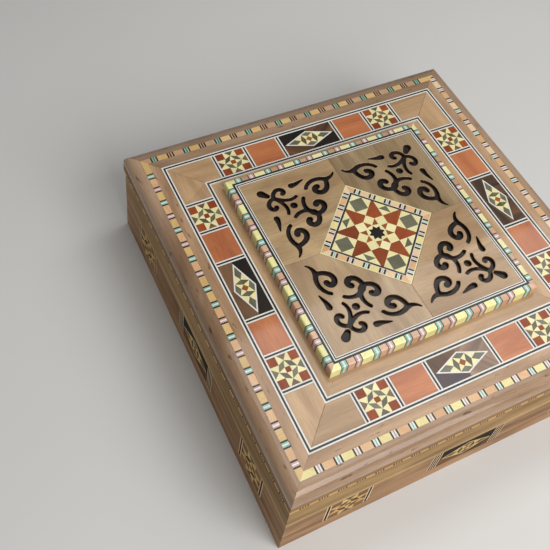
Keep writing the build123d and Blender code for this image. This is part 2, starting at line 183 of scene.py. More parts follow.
class Recipe:
    """A material's node tree, with short calls that add and join its nodes."""

    def __init__(self, name: str) -> None:
        """Starts a material with a Principled shader on its output.

        Args:
            name: Name of the material.
        """
        self.material = bpy.data.materials.new(name)
        self.material.use_nodes = True
        self.tree = self.material.node_tree
        self.tree.nodes.clear()
        self.shader = self.add("ShaderNodeBsdfPrincipled")
        output = self.add("ShaderNodeOutputMaterial")
        self.join(self.shader.outputs["BSDF"], output.inputs["Surface"])
        self.place = self.add("ShaderNodeTexCoord").outputs["Object"]

    def add(self, kind: str, **settings: object) -> bpy.types.Node:
        """Adds a node and sets its properties.

        Args:
            kind: What kind of node it is.
            settings: Properties of the node.

        Returns:
            The new node.
        """
        node = self.tree.nodes.new(kind)
        for setting, value in settings.items():
            setattr(node, setting, value)
        return node

    def join(self, source: object, target: Socket) -> None:
        """Feeds a socket from another socket, or sets it to a plain value.

        Args:
            source: An output socket, or a value.
            target: The input socket.
        """
        if isinstance(source, Socket):
            self.tree.links.new(source, target)
        else:
            target.default_value = source

    def feed(self, node: bpy.types.Node, *sources: object) -> Socket:
        """Feeds the first inputs of a node.

        Args:
            node: The node.
            sources: A socket or a value for each.

        Returns:
            Its first output.
        """
        for source, target in zip(sources, node.inputs):
            self.join(source, target)
        return node.outputs[0]

    def math(self, operation: str, *values: object) -> Socket:
        """Gives the result of an operation on numbers."""
        return self.feed(self.add("ShaderNodeMath", operation=operation), *values)

    def vector(self, operation: str, *values: object) -> Socket:
        """Gives the result of an operation on vectors."""
        return self.feed(self.add("ShaderNodeVectorMath", operation=operation), *values)

    def split(self, source: object) -> bpy.types.NodeOutputs:
        """Splits a vector.

        Args:
            source: The vector.

        Returns:
            The sockets of its X, Y and Z.
        """
        node = self.add("ShaderNodeSeparateXYZ")
        self.feed(node, source)
        return node.outputs

    def chance(self) -> Socket:
        """Gives a number from 0 to 1 that differs from slip to slip."""
        return self.add("ShaderNodeNewGeometry").outputs["Random Per Island"]

    def noise(self, where: object, pattern: Pattern) -> Socket:
        """Adds a Noise texture.

        Args:
            where: The vector it reads, whose first part runs along the fibres.
            pattern: What it looks like.

        Returns:
            Its value, from 0 to 1.
        """
        node = self.add("ShaderNodeTexNoise")
        density = (pattern.along, pattern.across, pattern.across)
        self.join(self.vector("MULTIPLY", where, density), node.inputs["Vector"])
        node.inputs["Scale"].default_value = 1.0
        for name in ("detail", "roughness", "distortion"):
            node.inputs[name.title()].default_value = getattr(pattern, name)
        return node.outputs["Fac"]

    def ramp(self, factor: object, stops: dict[float, tuple[float, ...]]) -> Socket:
        """Adds a Color Ramp.

        Args:
            factor: The socket it reads.
            stops: Linear colour at each place from 0 to 1.

        Returns:
            Its colour.
        """
        node = self.add("ShaderNodeValToRGB")
        self.join(factor, node.inputs["Fac"])
        elements = node.color_ramp.elements
        while len(elements) < len(stops):
            elements.new(0.5)
        for element, (place, colour) in zip(elements, sorted(stops.items())):
            element.position = place
            element.color = colour
        return node.outputs["Color"]

    def mix(self, kind: str, share: object, values: Sequence[object], **settings: object) -> Socket:
        """Adds a Mix node.

        Args:
            kind: RGBA to mix colours, or VECTOR.
            share: How much of the second value.
            values: The two sockets or values.
            settings: Other properties of the node.

        Returns:
            Its result.
        """
        inputs, output = MIX_SOCKETS[kind]
        node = self.add("ShaderNodeMix", data_type=kind, **settings)
        for source, socket in zip((share, *values), inputs):
            self.join(source, node.inputs[socket])
        return node.outputs[output]

    def multiply(self, colour: object, share: object, shade: object) -> Socket:
        """Multiplies a colour by a share of a shade."""
        return self.mix("RGBA", share, (colour, shade), blend_type="MULTIPLY")

    def darken(self, colour: object, share: float, value: object, tint: Tint) -> Socket:
        """Darkens a colour by a share of a tint, as the value of a pattern says."""
        shade = self.ramp(value, {tint.full: (*tint.shade, 1.0), tint.clear: (1.0, 1.0, 1.0, 1.0)})
        return self.multiply(colour, share, shade)

    def bump(self, height: object, distance: float, strength: float = 1.0) -> None:
        """Raises the surface by a Bump node.

        Args:
            height: The height, from 0 to 1.
            distance: Metres that a height of 1 stands for.
            strength: How much of it shows.
        """
        node = self.add("ShaderNodeBump")
        self.join(height, node.inputs["Height"])
        node.inputs["Distance"].default_value = distance
        node.inputs["Strength"].default_value = strength
        self.join(node.outputs["Normal"], self.shader.inputs["Normal"])

    def set(self, **values: object) -> None:
        """Sets or feeds the shader's own sockets, whose names are given with underscores."""
        for name, value in values.items():
            self.join(value, self.shader.inputs[name.replace("_", " ")])


class Grain(Enum):
    """Which way the fibres of a wood run."""

    ALONG_X = "along_x"
    ALONG_Y = "along_y"
    ROUND_BOX = "round_box"
    ROUND_PLATEAU = "round_plateau"
    EACH_SLIP = "each_slip"


@dataclass(frozen=True)
class WoodFinish:
    """A lacquered wood, with broad figure, fine streaks and open pores along its fibres.

    Attributes:
        name: Name of the material.
        light: Colour of its palest figure.
        dark: Colour of its darkest figure.
        grain: Which way its fibres run.
        figure: Figure bands to the metre, across the fibres.
        streaks: How strongly fine streaks show.
        pores: How strongly the pores show.
        spread: How much the tone differs from slip to slip.
        roughness: Roughness under the lacquer.
        lacquer: Weight of the lacquer coat.
        flecks: How strongly small dark knots show.
        greyer_beyond: Distance from the box's middle beyond which the wood's colour is made greyer and
            darker, or 0 for nowhere.
    """

    name: str
    light: Rgb
    dark: Rgb
    grain: Grain = Grain.ROUND_BOX
    figure: float = 45.0
    streaks: float = 0.25
    pores: float = 0.35
    spread: float = 0.0
    roughness: float = 0.42
    lacquer: float = 0.6
    flecks: float = 0.0
    greyer_beyond: float = 0.0

    def material(self) -> bpy.types.Material:
        """Builds the material.

        Returns:
            The material.
        """
        recipe = Recipe(self.name)
        fibres = self._fibres(recipe)
        light, dark = paint(self.light), paint(self.dark)
        middle = tuple((first + second) / 2 for first, second in zip(light, dark))
        bands = recipe.noise(fibres, replace(FIGURE, across=self.figure))
        streaks = recipe.noise(fibres, STREAKS)
        colour = recipe.ramp(bands, dict(zip(FIGURE_STOPS, (dark, middle, light))))
        colour = recipe.darken(colour, self.streaks, streaks, STREAK_TINT)
        colour = recipe.darken(colour, self.pores, recipe.noise(fibres, PORES), PORE_TINT)
        if self.flecks:
            colour = recipe.darken(colour, self.flecks, recipe.noise(fibres, KNOTS), KNOT_TINT)
        if self.greyer_beyond:
            beyond = recipe.math("GREATER_THAN", self._distance(recipe), self.greyer_beyond)
            colour = recipe.multiply(colour, beyond, OUTER_GREYING)
        if self.spread:
            colour = recipe.darken(colour, 1.0, recipe.chance(), Tint((1 - self.spread,) * 3, 0.0, 1.0))
        recipe.set(
            Base_Color=colour,
            Roughness=self.roughness,
            Coat_Weight=self.lacquer,
            Coat_Roughness=LACQUER_ROUGHNESS,
            Specular_IOR_Level=BARE_GLOSS + LACQUER_GLOSS * self.lacquer,
        )
        recipe.bump(streaks, STREAK_DEPTH, strength=0.4)
        return recipe.material

    @staticmethod
    def _distance(recipe: Recipe) -> Socket:
        """Measures how far a place is from the box's middle, squarely to the box's sides.

        Args:
            recipe: The material's recipe.

        Returns:
            The distance.
        """
        parts = recipe.split(recipe.place)
        sideways, lengthways = (recipe.math("ABSOLUTE", parts[axis]) for axis in ("X", "Y"))
        return recipe.math("MAXIMUM", sideways, lengthways)

    def _fibres(self, recipe: Recipe) -> Socket:
        """Gives object coordinates turned so that the first one runs along the fibres.

        Args:
            recipe: The material's recipe.

        Returns:
            The turned coordinates.
        """
        place = recipe.place
        if self.grain is Grain.EACH_SLIP:
            chance = recipe.chance()
            turn = recipe.add("ShaderNodeVectorRotate", rotation_type="Z_AXIS")
            recipe.feed(turn, place)
            recipe.join(recipe.math("MULTIPLY", chance, SLIP_TURN), turn.inputs["Angle"])
            return recipe.vector("ADD", turn.outputs[0], chance)
        if self.grain is Grain.ALONG_X:
            return place
        if self.grain is Grain.ROUND_PLATEAU:
            middle = top_middle("plateau_board")
            place = recipe.vector("SUBTRACT", place, (middle.x, middle.y, 0.0))
        parts = recipe.split(place)
        swapped = recipe.feed(recipe.add("ShaderNodeCombineXYZ"), parts["Y"], parts["X"], parts["Z"])
        if self.grain is Grain.ALONG_Y:
            return swapped
        across, along = (recipe.math("ABSOLUTE", parts[axis]) for axis in ("X", "Y"))
        sideways = recipe.math("GREATER_THAN", across, along)
        nearest = recipe.mix("VECTOR", sideways, (place, swapped))
        return recipe.vector("ADD", nearest, recipe.vector("MULTIPLY", SIDE_SHIFT, sideways))


@dataclass(frozen=True)
class VelvetFinish:
    """Cut pile velvet, with a nap that is brushed in patches.

    Attributes:
        name: Name of the material.
        pile: Its colour.
        brushed: Its colour where the nap is brushed.
        sheen: Colour of its sheen.
    """

    name: str
    pile: Rgb
    brushed: Rgb
    sheen: Rgb

    def material(self) -> bpy.types.Material:
        """Builds the material.

        Returns:
            The material.
        """
        recipe = Recipe(self.name)
        pile = recipe.noise(recipe.place, PILE)
        stops = dict(zip(NAP_STOPS, (paint(self.pile), paint(self.brushed))))
        nap = recipe.ramp(recipe.noise(recipe.place, NAP), stops)
        recipe.set(
            Base_Color=recipe.darken(nap, PILE_SHARE, pile, PILE_TINT),
            Roughness=0.95,
            Specular_IOR_Level=0.15,
            Sheen_Weight=0.8,
            Sheen_Roughness=0.35,
            Sheen_Tint=paint(self.sheen),
        )
        recipe.bump(pile, PILE_DEPTH, strength=0.6)
        return recipe.material


@dataclass(frozen=True)
class BrassFinish:
    """Rolled brass, duller where it is handled, with fine lines along X.

    Attributes:
        name: Name of the material.
        bright: Colour where it is polished.
        dull: Colour where it is handled.
        roughness: Roughness where it is polished.
        wear: How much rougher it is where it is handled.
    """

    name: str
    bright: Rgb
    dull: Rgb
    roughness: float = 0.18
    wear: float = 0.25

    def material(self) -> bpy.types.Material:
        """Builds the material.

        Returns:
            The material.
        """
        recipe = Recipe(self.name)
        patina = recipe.noise(recipe.place, PATINA)
        colour = recipe.ramp(patina, dict(zip(PATINA_STOPS, (paint(self.dull), paint(self.bright)))))
        rough = recipe.math("ADD", recipe.math("MULTIPLY", patina, self.wear), self.roughness)
        recipe.set(Base_Color=colour, Roughness=rough, Metallic=1.0)
        recipe.bump(recipe.noise(recipe.place, ROLLED_LINES), ROLLED_DEPTH, strength=0.5)
        return recipe.material


@dataclass(frozen=True)
class FloorFinish:
    """Pale matt studio floor, with the faintest unevenness.

    Attributes:
        name: Name of the material.
        colour: Its colour.
    """

    name: str
    colour: Rgb

    def material(self) -> bpy.types.Material:
        """Builds the material.

        Returns:
            The material.
        """
        recipe = Recipe(self.name)
        clouds = recipe.noise(recipe.place, CLOUDS)
        recipe.set(Base_Color=recipe.darken(paint(self.colour), 1.0, clouds, CLOUD_TINT), Roughness=0.8)
        return recipe.material


def bare_wood(name: str, light: Rgb, dark: Rgb, **more: float) -> WoodFinish:
    """Describes a wood that has no lacquer."""
    return WoodFinish(name, light, dark, roughness=0.55, lacquer=0.0, **more)


def thin_veneer(name: str, light: Rgb, dark: Rgb, spread: float, **more: float) -> WoodFinish:
    """Describes a veneer whose slips are cut at all angles."""
    return WoodFinish(f"{name}_veneer", light, dark, Grain.EACH_SLIP, spread=spread, **more)


class Wood(Enum):
    """The woods and dyed veneers that the slips are cut from."""

    CREAM = thin_veneer("cream", (246, 240, 186), (238, 225, 161), 0.1, pores=0.1)
    LEMON = thin_veneer("lemon", (241, 229, 163), (231, 211, 136), 0.1, pores=0.1)
    # Lighter copies of cream and tan, laid only on the front and left beads: painted light on them
    LIT_PRIMROSE = thin_veneer("lit_primrose", (250, 247, 178), (244, 237, 158), 0.1, pores=0.1)
    LIT_FAWN = thin_veneer("lit_fawn", (232, 190, 158), (216, 170, 136), 0.15, pores=0.1)
    PEACH = thin_veneer("peach", (242, 215, 178), (235, 200, 157), 0.1, pores=0.1)
    ORANGE = thin_veneer("orange", (231, 188, 142), (219, 169, 118), 0.14, pores=0.1)
    TAN = thin_veneer("tan", (210, 172, 136), (193, 151, 113), 0.2, pores=0.2)
    RED = thin_veneer("red_slip", (170, 84, 38), (142, 62, 24), 0.25, lacquer=0.25)
    RUST = thin_veneer("rust", (172, 100, 50), (146, 75, 34), 0.2, lacquer=0.25)
    OLIVE = thin_veneer("olive_slip", (121, 115, 83), (81, 76, 49), 0.45, pores=0.2)
    GREY = thin_veneer("grey", (123, 121, 96), (94, 93, 72), 0.25, pores=0.2)
    BROWN = thin_veneer("brown_slip", (130, 93, 59), (94, 64, 40), 0.2)
    SMOKED = thin_veneer("smoked", (130, 96, 62), (72, 50, 34), 0.3, lacquer=0.4)
    UMBER = thin_veneer("umber", (176, 140, 112), (104, 78, 60), 0.3, figure=90.0)
    # Ebony lightened to a purple grey for one quarter of the front diamond's ground: partly dark wood, partly
    # painted sheen
    SHEENED_EBONY = thin_veneer("sheened_ebony", (96, 80, 84), (54, 44, 48), 0.3, lacquer=0.4)
    ROSEWOOD = thin_veneer("rosewood", (122, 80, 44), (34, 22, 12), 0.25, figure=110.0)
    EBONY = thin_veneer("ebony", (44, 33, 23), (16, 12, 9), 0.3, lacquer=0.25)
    TEAL = thin_veneer("teal", (151, 208, 188), (122, 188, 169), 0.2, pores=0.1)
    PINK = thin_veneer("pink", (223, 180, 175), (204, 151, 147), 0.2, pores=0.1)
    WHITE = thin_veneer("white", (237, 236, 229), (225, 221, 210), 0.06, pores=0.05)
    WALNUT = WoodFinish("walnut_slip", (174, 134, 93), (134, 98, 64), spread=0.2)
    HONEY = thin_veneer("honey", (231, 196, 134), (213, 173, 107), 0.12, pores=0.1)
    BLACK = thin_veneer("black", (44, 46, 45), (24, 26, 26), 0.15, pores=0.1, lacquer=0.4)


WOODS = tuple(Wood)
Lines = Sequence[tuple[Wood, float]]
Slips = list[tuple[Wood, Corners]]
Spans = list[tuple[Wood, float, float]]


# ------------------------------------------------------------------------------------- places on the box
def top_middle(node: str) -> Vector:
    """Gives the middle of a node's top."""
    low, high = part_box(node)
    return Vector(((low.x + high.x) / 2, (low.y + high.y) / 2, high.z))


def merged(node: str) -> bmesh.types.BMesh:
    """Copies a node's mesh and joins its loose triangles.

    Args:
        node: Name of the node.

    Returns:
        The copy.
    """
    copy = bmesh.new()
    copy.from_mesh(bpy.data.objects[node].data)
    bmesh.ops.remove_doubles(copy, verts=copy.verts, dist=NODE_WELD)
    return copy


def solids(node: str) -> list[Bounds]:
    """Measures the separate solids of a node.

    Args:
        node: Name of the node.

    Returns:
        Lowest and highest corner of each solid.
    """
    copy = merged(node)
    left = set(copy.verts)
    found = []
    while left:
        queue = [left.pop()]
        corners = []
        while queue:
            vert = queue.pop()
            corners.append(vert.co.copy())
            for edge in vert.link_edges:
                other = edge.other_vert(vert)
                if other in left:
                    left.remove(other)
                    queue.append(other)
        ends = [[limit(corner[axis] for corner in corners) for axis in range(3)] for limit in (min, max)]
        found.append((Vector(ends[0]), Vector(ends[1])))
    copy.free()
    return sorted(found, key=lambda box: tuple(box[0]))


def cut_off(mesh: bmesh.types.BMesh, place: Sequence[float], out: Sequence[float]) -> None:
    """Cuts a closed mesh along a plane, takes away what is beyond it and closes the cut.

    Args:
        mesh: The mesh.
        place: A point of the plane.
        out: Direction in which the mesh is taken away.
    """
    parts = [*mesh.verts, *mesh.edges, *mesh.faces]
    bmesh.ops.bisect_plane(mesh, geom=parts, dist=CUT_WELD, plane_co=place, plane_no=out, clear_outer=True)
    bmesh.ops.holes_fill(mesh, edges=[edge for edge in mesh.edges if edge.is_boundary], sides=0)


@dataclass(frozen=True)
class Seat:
    """Where a flat piece of marquetry lies: its middle on the surface, its half sizes and its thickness.

    Attributes:
        place: Turns the piece's own coordinates, along, across and out, into places on the box.
        half_along: Half its length.
        half_across: Half its width.
        depth: Its thickness.
        turn: Quarter turns from the front of the box, anticlockwise from above.
    """

    place: Matrix
    half_along: float
    half_across: float
    depth: float
    turn: int


def seat_of(box: Bounds) -> Seat:
    """Finds how a flat solid lies, on the lid's top or on a side of the box.

    Args:
        box: Lowest and highest corner of the solid.

    Returns:
        Its seat.
    """
    low, high = box
    middle, size = (low + high) / 2, high - low
    if abs(middle.y) >= abs(middle.x):
        turn = 0 if middle.y < 0 else 2
    else:
        turn = 1 if middle.x > 0 else 3
    along, inward = (size.x, size.y) if turn % 2 == 0 else (size.y, size.x)
    spin = Matrix.Rotation(turn * QUARTER, 4, "Z")
    if size.z < inward:
        place = Matrix.Translation((middle.x, middle.y, high.z)) @ spin
        return Seat(place, along / 2, inward / 2, size.z, turn)
    out = spin @ Vector((0.0, -inward / 2, 0.0))
    place = Matrix.Translation(middle + out) @ spin @ Matrix.Rotation(QUARTER, 4, "X")
    return Seat(place, along / 2, size.z / 2, inward, turn)


class Inlay:
    """Slips of wood laid side by side in one piece."""

    def __init__(self) -> None:
        """Starts an empty piece."""
        self.mesh = bmesh.new()

    def lay(self, place: Matrix, depth: float, slips: Slips) -> None:
        """Lays slips whose tops are flush with a surface.

        Args:
            place: Turns along, across and out into places on the box.
            depth: Thickness of the slips.
            slips: The wood of each slip and its corners, along and across.
        """
        faces = []
        for wood, corners in slips:
            verts = [self.mesh.verts.new(place @ Vector((along, across, 0.0))) for along, across in corners]
            face = self.mesh.faces.new(verts)
            face.material_index = WOODS.index(wood)
            faces.append(face)
        raised = bmesh.ops.extrude_face_region(self.mesh, geom=faces)["geom"]
        sunk = [item for item in raised if isinstance(item, bmesh.types.BMVert)]
        bmesh.ops.translate(self.mesh, verts=sunk, vec=place.to_3x3() @ Vector((0.0, 0.0, -depth)))

    def fill(self, node: str, cut: Callable[[Seat], Slips]) -> None:
        """Lays slips in place of each solid of a node.

        Args:
            node: Name of the node.
            cut: Cuts the slips for a seat.
        """
        for box in solids(node):
            seat = seat_of(box)
            self.lay(seat.place, seat.depth, cut(seat))

    def run(self, place: Matrix, wood: Wood, near: float, far: float, profile: Corners) -> None:
        """Lays one slice of a moulding along the front strip of a frame, with its ends mitred.

        Args:
            place: Turns along, across and out into places on the box.
            wood: Its wood.
            near: Where it starts along the strip.
            far: Where it ends.
            profile: The moulding's outline, as distances from the frame's middle and heights.
        """
        starts = [self.mesh.verts.new(place @ Vector((max(near, -out), -out, up))) for out, up in profile]
        face = self.mesh.faces.new(starts)
        face.material_index = WOODS.index(wood)
        raised = bmesh.ops.extrude_face_region(self.mesh, geom=[face])["geom"]
        ends = [item for item in raised if isinstance(item, bmesh.types.BMVert)]
        back = place.inverted()
        for vert in ends:
            _, across, up = back @ vert.co
            vert.co = place @ Vector((min(far, -across), across, up))

    def finish(
        self, name: str, body: str, slot: str, nodes: Sequence[str], woods: "Woodyard", oiled: bool = False
    ) -> None:
        """Makes the piece an object on its body, in place of its plain solids.

        Args:
            name: Name of the piece.
            body: The body that it rides on.
            slot: The record's material slot; not used.
            nodes: The plain solids that it stands for.
            woods: Where its woods come from.
            oiled: Whether its woods are oiled and not lacquered.
        """
        bmesh.ops.recalc_face_normals(self.mesh, faces=self.mesh.faces)
        used = sorted({face.material_index for face in self.mesh.faces})
        for face in self.mesh.faces:
            face.material_index = used.index(face.material_index)
        piece = new_piece(name, self.mesh, [woods.veneer(WOODS[index], oiled) for index in used])
        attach(piece, body)
        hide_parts(*nodes)


def new_piece(
    name: str, mesh: bmesh.types.BMesh, materials: Iterable[bpy.types.Material]
) -> bpy.types.Object:
    """Makes an object of a finished bmesh, which is freed.

    Args:
        name: Name of the object.
        mesh: The bmesh, in place.
        materials: Its materials, in the order of its faces' indices.

    Returns:
        The object, linked to the scene.
    """
    # An extrusion leaves the faces of its sides in an order that differs from run to run
    mesh.verts.index_update()
    ordered = sorted(mesh.faces, key=lambda face: [vert.index for vert in face.verts])
    for number, face in enumerate(ordered):
        face.index = number
    mesh.faces.sort()
    data = bpy.data.meshes.new(name)
    mesh.to_mesh(data)
    mesh.free()
    for material in materials:
        data.materials.append(material)
    piece = bpy.data.objects.new(name, data)
    bpy.context.scene.collection.objects.link(piece)
    LOG.info("%s: %d faces", name, len(data.polygons))
    return piece


class Woodyard:
    """Builds each finish once and hands it out."""

    def __init__(self) -> None:
        """Starts with nothing built."""
        self.built: dict[object, bpy.types.Material] = {}

    def of(self, finish: object) -> bpy.types.Material:
        """Gives the material of a finish.

        Args:
            finish: Any of the finishes.

        Returns:
            Its material.
        """
        if finish not in self.built:
            self.built[finish] = finish.material()
        return self.built[finish]

    def veneer(self, wood: Wood, oiled: bool = False) -> bpy.types.Material:
        """Gives the material of a slip's wood.

        Args:
            wood: The wood.
            oiled: Whether it is oiled and not lacquered.

        Returns:
            Its material.
        """
        finish = wood.value
        if oiled:
            finish = replace(finish, name=f"{finish.name}_oiled", lacquer=0.0, roughness=OILED_ROUGHNESS)
        return self.of(finish)

    def dress(self, finish: object, *nodes: str) -> None:
        """Gives a finish to nodes that stay as they are.

        Args:
            finish: The finish.
            nodes: Names of the nodes.
        """
        for node in nodes:
            data = bpy.data.objects[node].data
            data.materials.clear()
            data.materials.append(self.of(finish))


# --------------------------------------------------------------------------------------- slip patterns
def mirrored(corners: Corners, flip_along: bool, flip_across: bool) -> Corners:
    """Mirrors a slip's corners along, across or both."""
    sign_along, sign_across = (-1 if flip_along else 1), (-1 if flip_across else 1)
    return [(sign_along * along, sign_across * across) for along, across in corners]


def rectangle(near: float, far: float, bottom: float, top: float) -> Corners:
    """Gives the corners of a rectangle, anticlockwise."""
    return [(near, bottom), (far, bottom), (far, top), (near, top)]


def turned(corners: Corners, turn: int) -> Corners:
    """Turns a slip's corners by quarter turns about the middle.

    Args:
        corners: The corners.
        turn: Quarter turns, anticlockwise.

    Returns:
        The turned corners.
    """
    found = list(corners)
    for _ in range(turn):
        found = [(-across, along) for along, across in found]
    return found


@dataclass(frozen=True)
class StarTile:
    """Eight pointed star in a square, as shares of the tile's side.

    Attributes:
        corner: Inner edge of the corner squares, from the middle.
        mid_base: Half the base of the triangle in the middle of each edge.
        reach: Reach of the inner star's points.
        core: Half the square in the middle.
        edge: Half the tile.
        accent: Wood of the corners and of the middle.
        point: Wood of the star's points.
        darts: Woods of the darts in the star, in turn.
    """

    corner: float = 0.215
    mid_base: float = 0.155
    reach: float = 0.31
    core: float = 0.087
    edge: float = 0.5
    accent: Wood = Wood.RED
    point: Wood = Wood.CREAM
    darts: tuple[Wood, Wood] = (Wood.GREY, Wood.OLIVE)

    def slips(self, seat: Seat) -> Slips:
        """Cuts the slips of one tile.

        Args:
            seat: Where the tile lies.

        Returns:
            The wood and the corners of each slip.
        """
        near, base, core, edge = self.corner, self.mid_base, self.core, self.edge
        tip = (0.0, self.reach)
        pattern = [(self.accent, rectangle(-core, core, -core, core))]
        for turn in range(4):
            quarter = [
                (self.accent, rectangle(near, edge, near, edge)),
                (Wood.BROWN if turn % 2 else Wood.OLIVE, [(-base, edge), tip, (base, edge)]),
                (self.point, [(base, edge), tip, (near, near), (near, edge)]),
                (self.point, [(-base, edge), (-near, edge), (-near, near), tip]),
                (self.darts[turn % 2], [(self.reach, 0.0), (near, near), tip, (core, core)]),
                (self.point, [(-core, core), (core, core), tip]),
            ]
            pattern += [(wood, turned(corners, turn)) for wood, corners in quarter]
        along, across = 2 * seat.half_along, 2 * seat.half_across
        return [(wood, [(x * along, y * across) for x, y in corners]) for wood, corners in pattern]


@dataclass(frozen=True)
class DiamondPanel:
    """A long diamond with a small star in it, on a dark ground.

    Attributes:
        half_long: Half the long diagonal inside the white line.
        half_short: Half the short diagonal inside the white line.
        line: Share by which the white line's outside is larger.
        core: Half the diagonal of the square in the middle.
        star_tip: How far along the long diagonal the inner star's tips are.
        dart: Where the darts at the ends start.
        dart_wide: Where the darts are widest.
        panel: Half the width of the panel that it is drawn for.
        most: How much wider than drawn it is made at most.
        outline: Wood of the line round it.
        point: Wood of the star and of the pale ends.
    """

    half_long: float = 19.4 * MM
    half_short: float = 7.7 * MM
    line: float = 1.14
    core: float = 2.9 * MM
    star_tip: float = 5.1 * MM
    dart: float = 7.6 * MM
    dart_wide: float = 12.3 * MM
    panel: float = 11.3 * MM
    most: float = 1.15
    outline: Wood = Wood.WHITE
    point: Wood = Wood.CREAM

    def slips(self, seat: Seat, grounds: Sequence[Wood]) -> Slips:
        """Cuts the slips of one panel.

        Args:
            seat: Where the panel lies.
            grounds: Wood of the ground in each quarter: right inner, left inner, left outer, right outer.

        Returns:
            The wood and the corners of each slip.
        """
        wide, high = seat.half_along, seat.half_across
        long, short = self.half_long, self.half_short * min(high / self.panel, self.most)

        def edge_at(along: float) -> Point:
            """Gives the point of the diamond's edge at a distance along it."""
            return (along, short * (1 - along / long))

        tip, dart_edge = edge_at(self.star_tip), edge_at(self.dart_wide)
        core = self.core
        far_long, far_short = long * self.line, short * self.line
        quarter = [
            (self.point, [(core, 0.0), tip, (0.0, core)]),
            (Wood.GREY, [(0.0, core), tip, (0.0, short)]),
            (Wood.OLIVE, [(core, 0.0), (self.dart, 0.0), tip]),
            (self.point, [(self.dart, 0.0), dart_edge, tip]),
            (Wood.GREY, [(self.dart, 0.0), (long, 0.0), dart_edge]),
            (self.outline, [(long, 0.0), (far_long, 0.0), (0.0, far_short), (0.0, short)]),
        ]
        pattern = [(Wood.RUST, [(core, 0.0), (0.0, core), (-core, 0.0), (0.0, -core)])]
        flips = ((False, False), (True, False), (True, True), (False, True))
        for ground, (flip_along, flip_across) in zip(grounds, flips):
            rest = [(far_long, 0.0), (wide, 0.0), (wide, high), (0.0, high), (0.0, far_short)]
            for wood, corners in [*quarter, (ground, rest)]:
                pattern.append((wood, mirrored(corners, flip_along, flip_across)))
        return pattern


def string_slips(seat: Seat, lines: Lines) -> Slips:
    """Cuts slips that lie side by side and fill a seat.

    Args:
        seat: Where they lie.
        lines: Wood and relative width of each slip.

    Returns:
        The wood and the corners of each slip.
    """
    slips, near, whole = [], -seat.half_along, sum(share for _, share in lines)
    for wood, share in lines:
        far = near + 2 * seat.half_along * share / whole
        slips.append((wood, rectangle(near, far, -seat.half_across, seat.half_across)))
        near = far
    return slips


STRING = ((Wood.WHITE, 0.9), (Wood.BLACK, 1.2), (Wood.WHITE, 0.9))
BEAD_STRING = ((Wood.BLACK, 1.0), (Wood.WHITE, 0.9), (Wood.BLACK, 1.0), (Wood.WHITE, 0.8))
SIDE_STRING = ((Wood.PEACH, 0.6), (Wood.BLACK, 1.2), (Wood.PEACH, 0.6))
# The wide bars of the sides hold three black lines
WIDE_SIDE_STRING = (*SIDE_STRING, *SIDE_STRING[1:], *SIDE_STRING[1:])


@dataclass(frozen=True)
class Mosaic:
    """A strip of long blocks with a group of thin slips between each two.

    Attributes:
        pitch: Length of a block and a group together.
        group: Length of a group.
        blocks: Woods of the blocks, in turn.
        groups: Woods of the slips in the groups, in turn.
        ends: Width of a group's first and last slip, as a share of the others.
        lead: How much longer the first block is than the others.
        tail: How much longer the last block is than the others.
        splice: Block from which the order of woods is moved on by one, where two lengths meet, or 0 for none.
        swell: How much longer than the mean every other block is, from the first one; the rest are shorter.
    """

    pitch: float
    group: float
    blocks: Sequence[Wood]
    groups: Sequence[Sequence[Wood]]
    ends: float = 1.0
    lead: float = 0.0
    tail: float = 0.0
    splice: int = 0
    swell: float = 0.0

    def spans(self, half: float) -> Spans:
        """Divides a strip into slips, with a block at each end.

        Args:
            half: Half the length of the strip.

        Returns:
            The wood of each slip, its start and its end.
        """
        length, drawn = 2 * half - self.lead - self.tail, self.pitch - self.group
        count = max(1, round((length - drawn) / self.pitch))
        pitch = length / (count + drawn / self.pitch)
        block = pitch * drawn / self.pitch
        found = []
        for number in range(count + 1):
            start = number * pitch + self.lead - half
            turn = number + (1 if self.splice and number >= self.splice else 0)
            longer = self.swell / 2 * (-1) ** number
            near = start - longer if number else -half
            far = start + block + longer if number < count else half
            found.append((self.blocks[turn % len(self.blocks)], near, far))
            if number < count:
                woods = self.groups[turn % len(self.groups)]
                shares = [self.ends, *(1.0 for _ in woods[1:-1]), self.ends]
                near = far
                for wood, share in zip(woods, shares):
                    far = near + (pitch - block) * share / sum(shares)
                    found.append((wood, near, far))
                    near = far
        return found


def mitred(near: float, far: float, inner: float, outer: float) -> Corners:
    """Cuts a slip of a frame's front strip, shortened where it meets the mitres.

    Args:
        near: Where it starts along the strip.
        far: Where it ends along the strip.
        inner: Half the frame inside.
        outer: Half the frame outside.

    Returns:
        Its corners, along and out of the frame's middle.
    """
    near, far = max(near, -outer), min(far, outer)
    bends = [far, *(bend for bend in (inner, -inner) if near < bend < far), near]
    corners = [(near, -outer), (far, -outer), *((along, -max(inner, abs(along))) for along in bends)]
    return [corner for number, corner in enumerate(corners) if corner != corners[number - 1]]


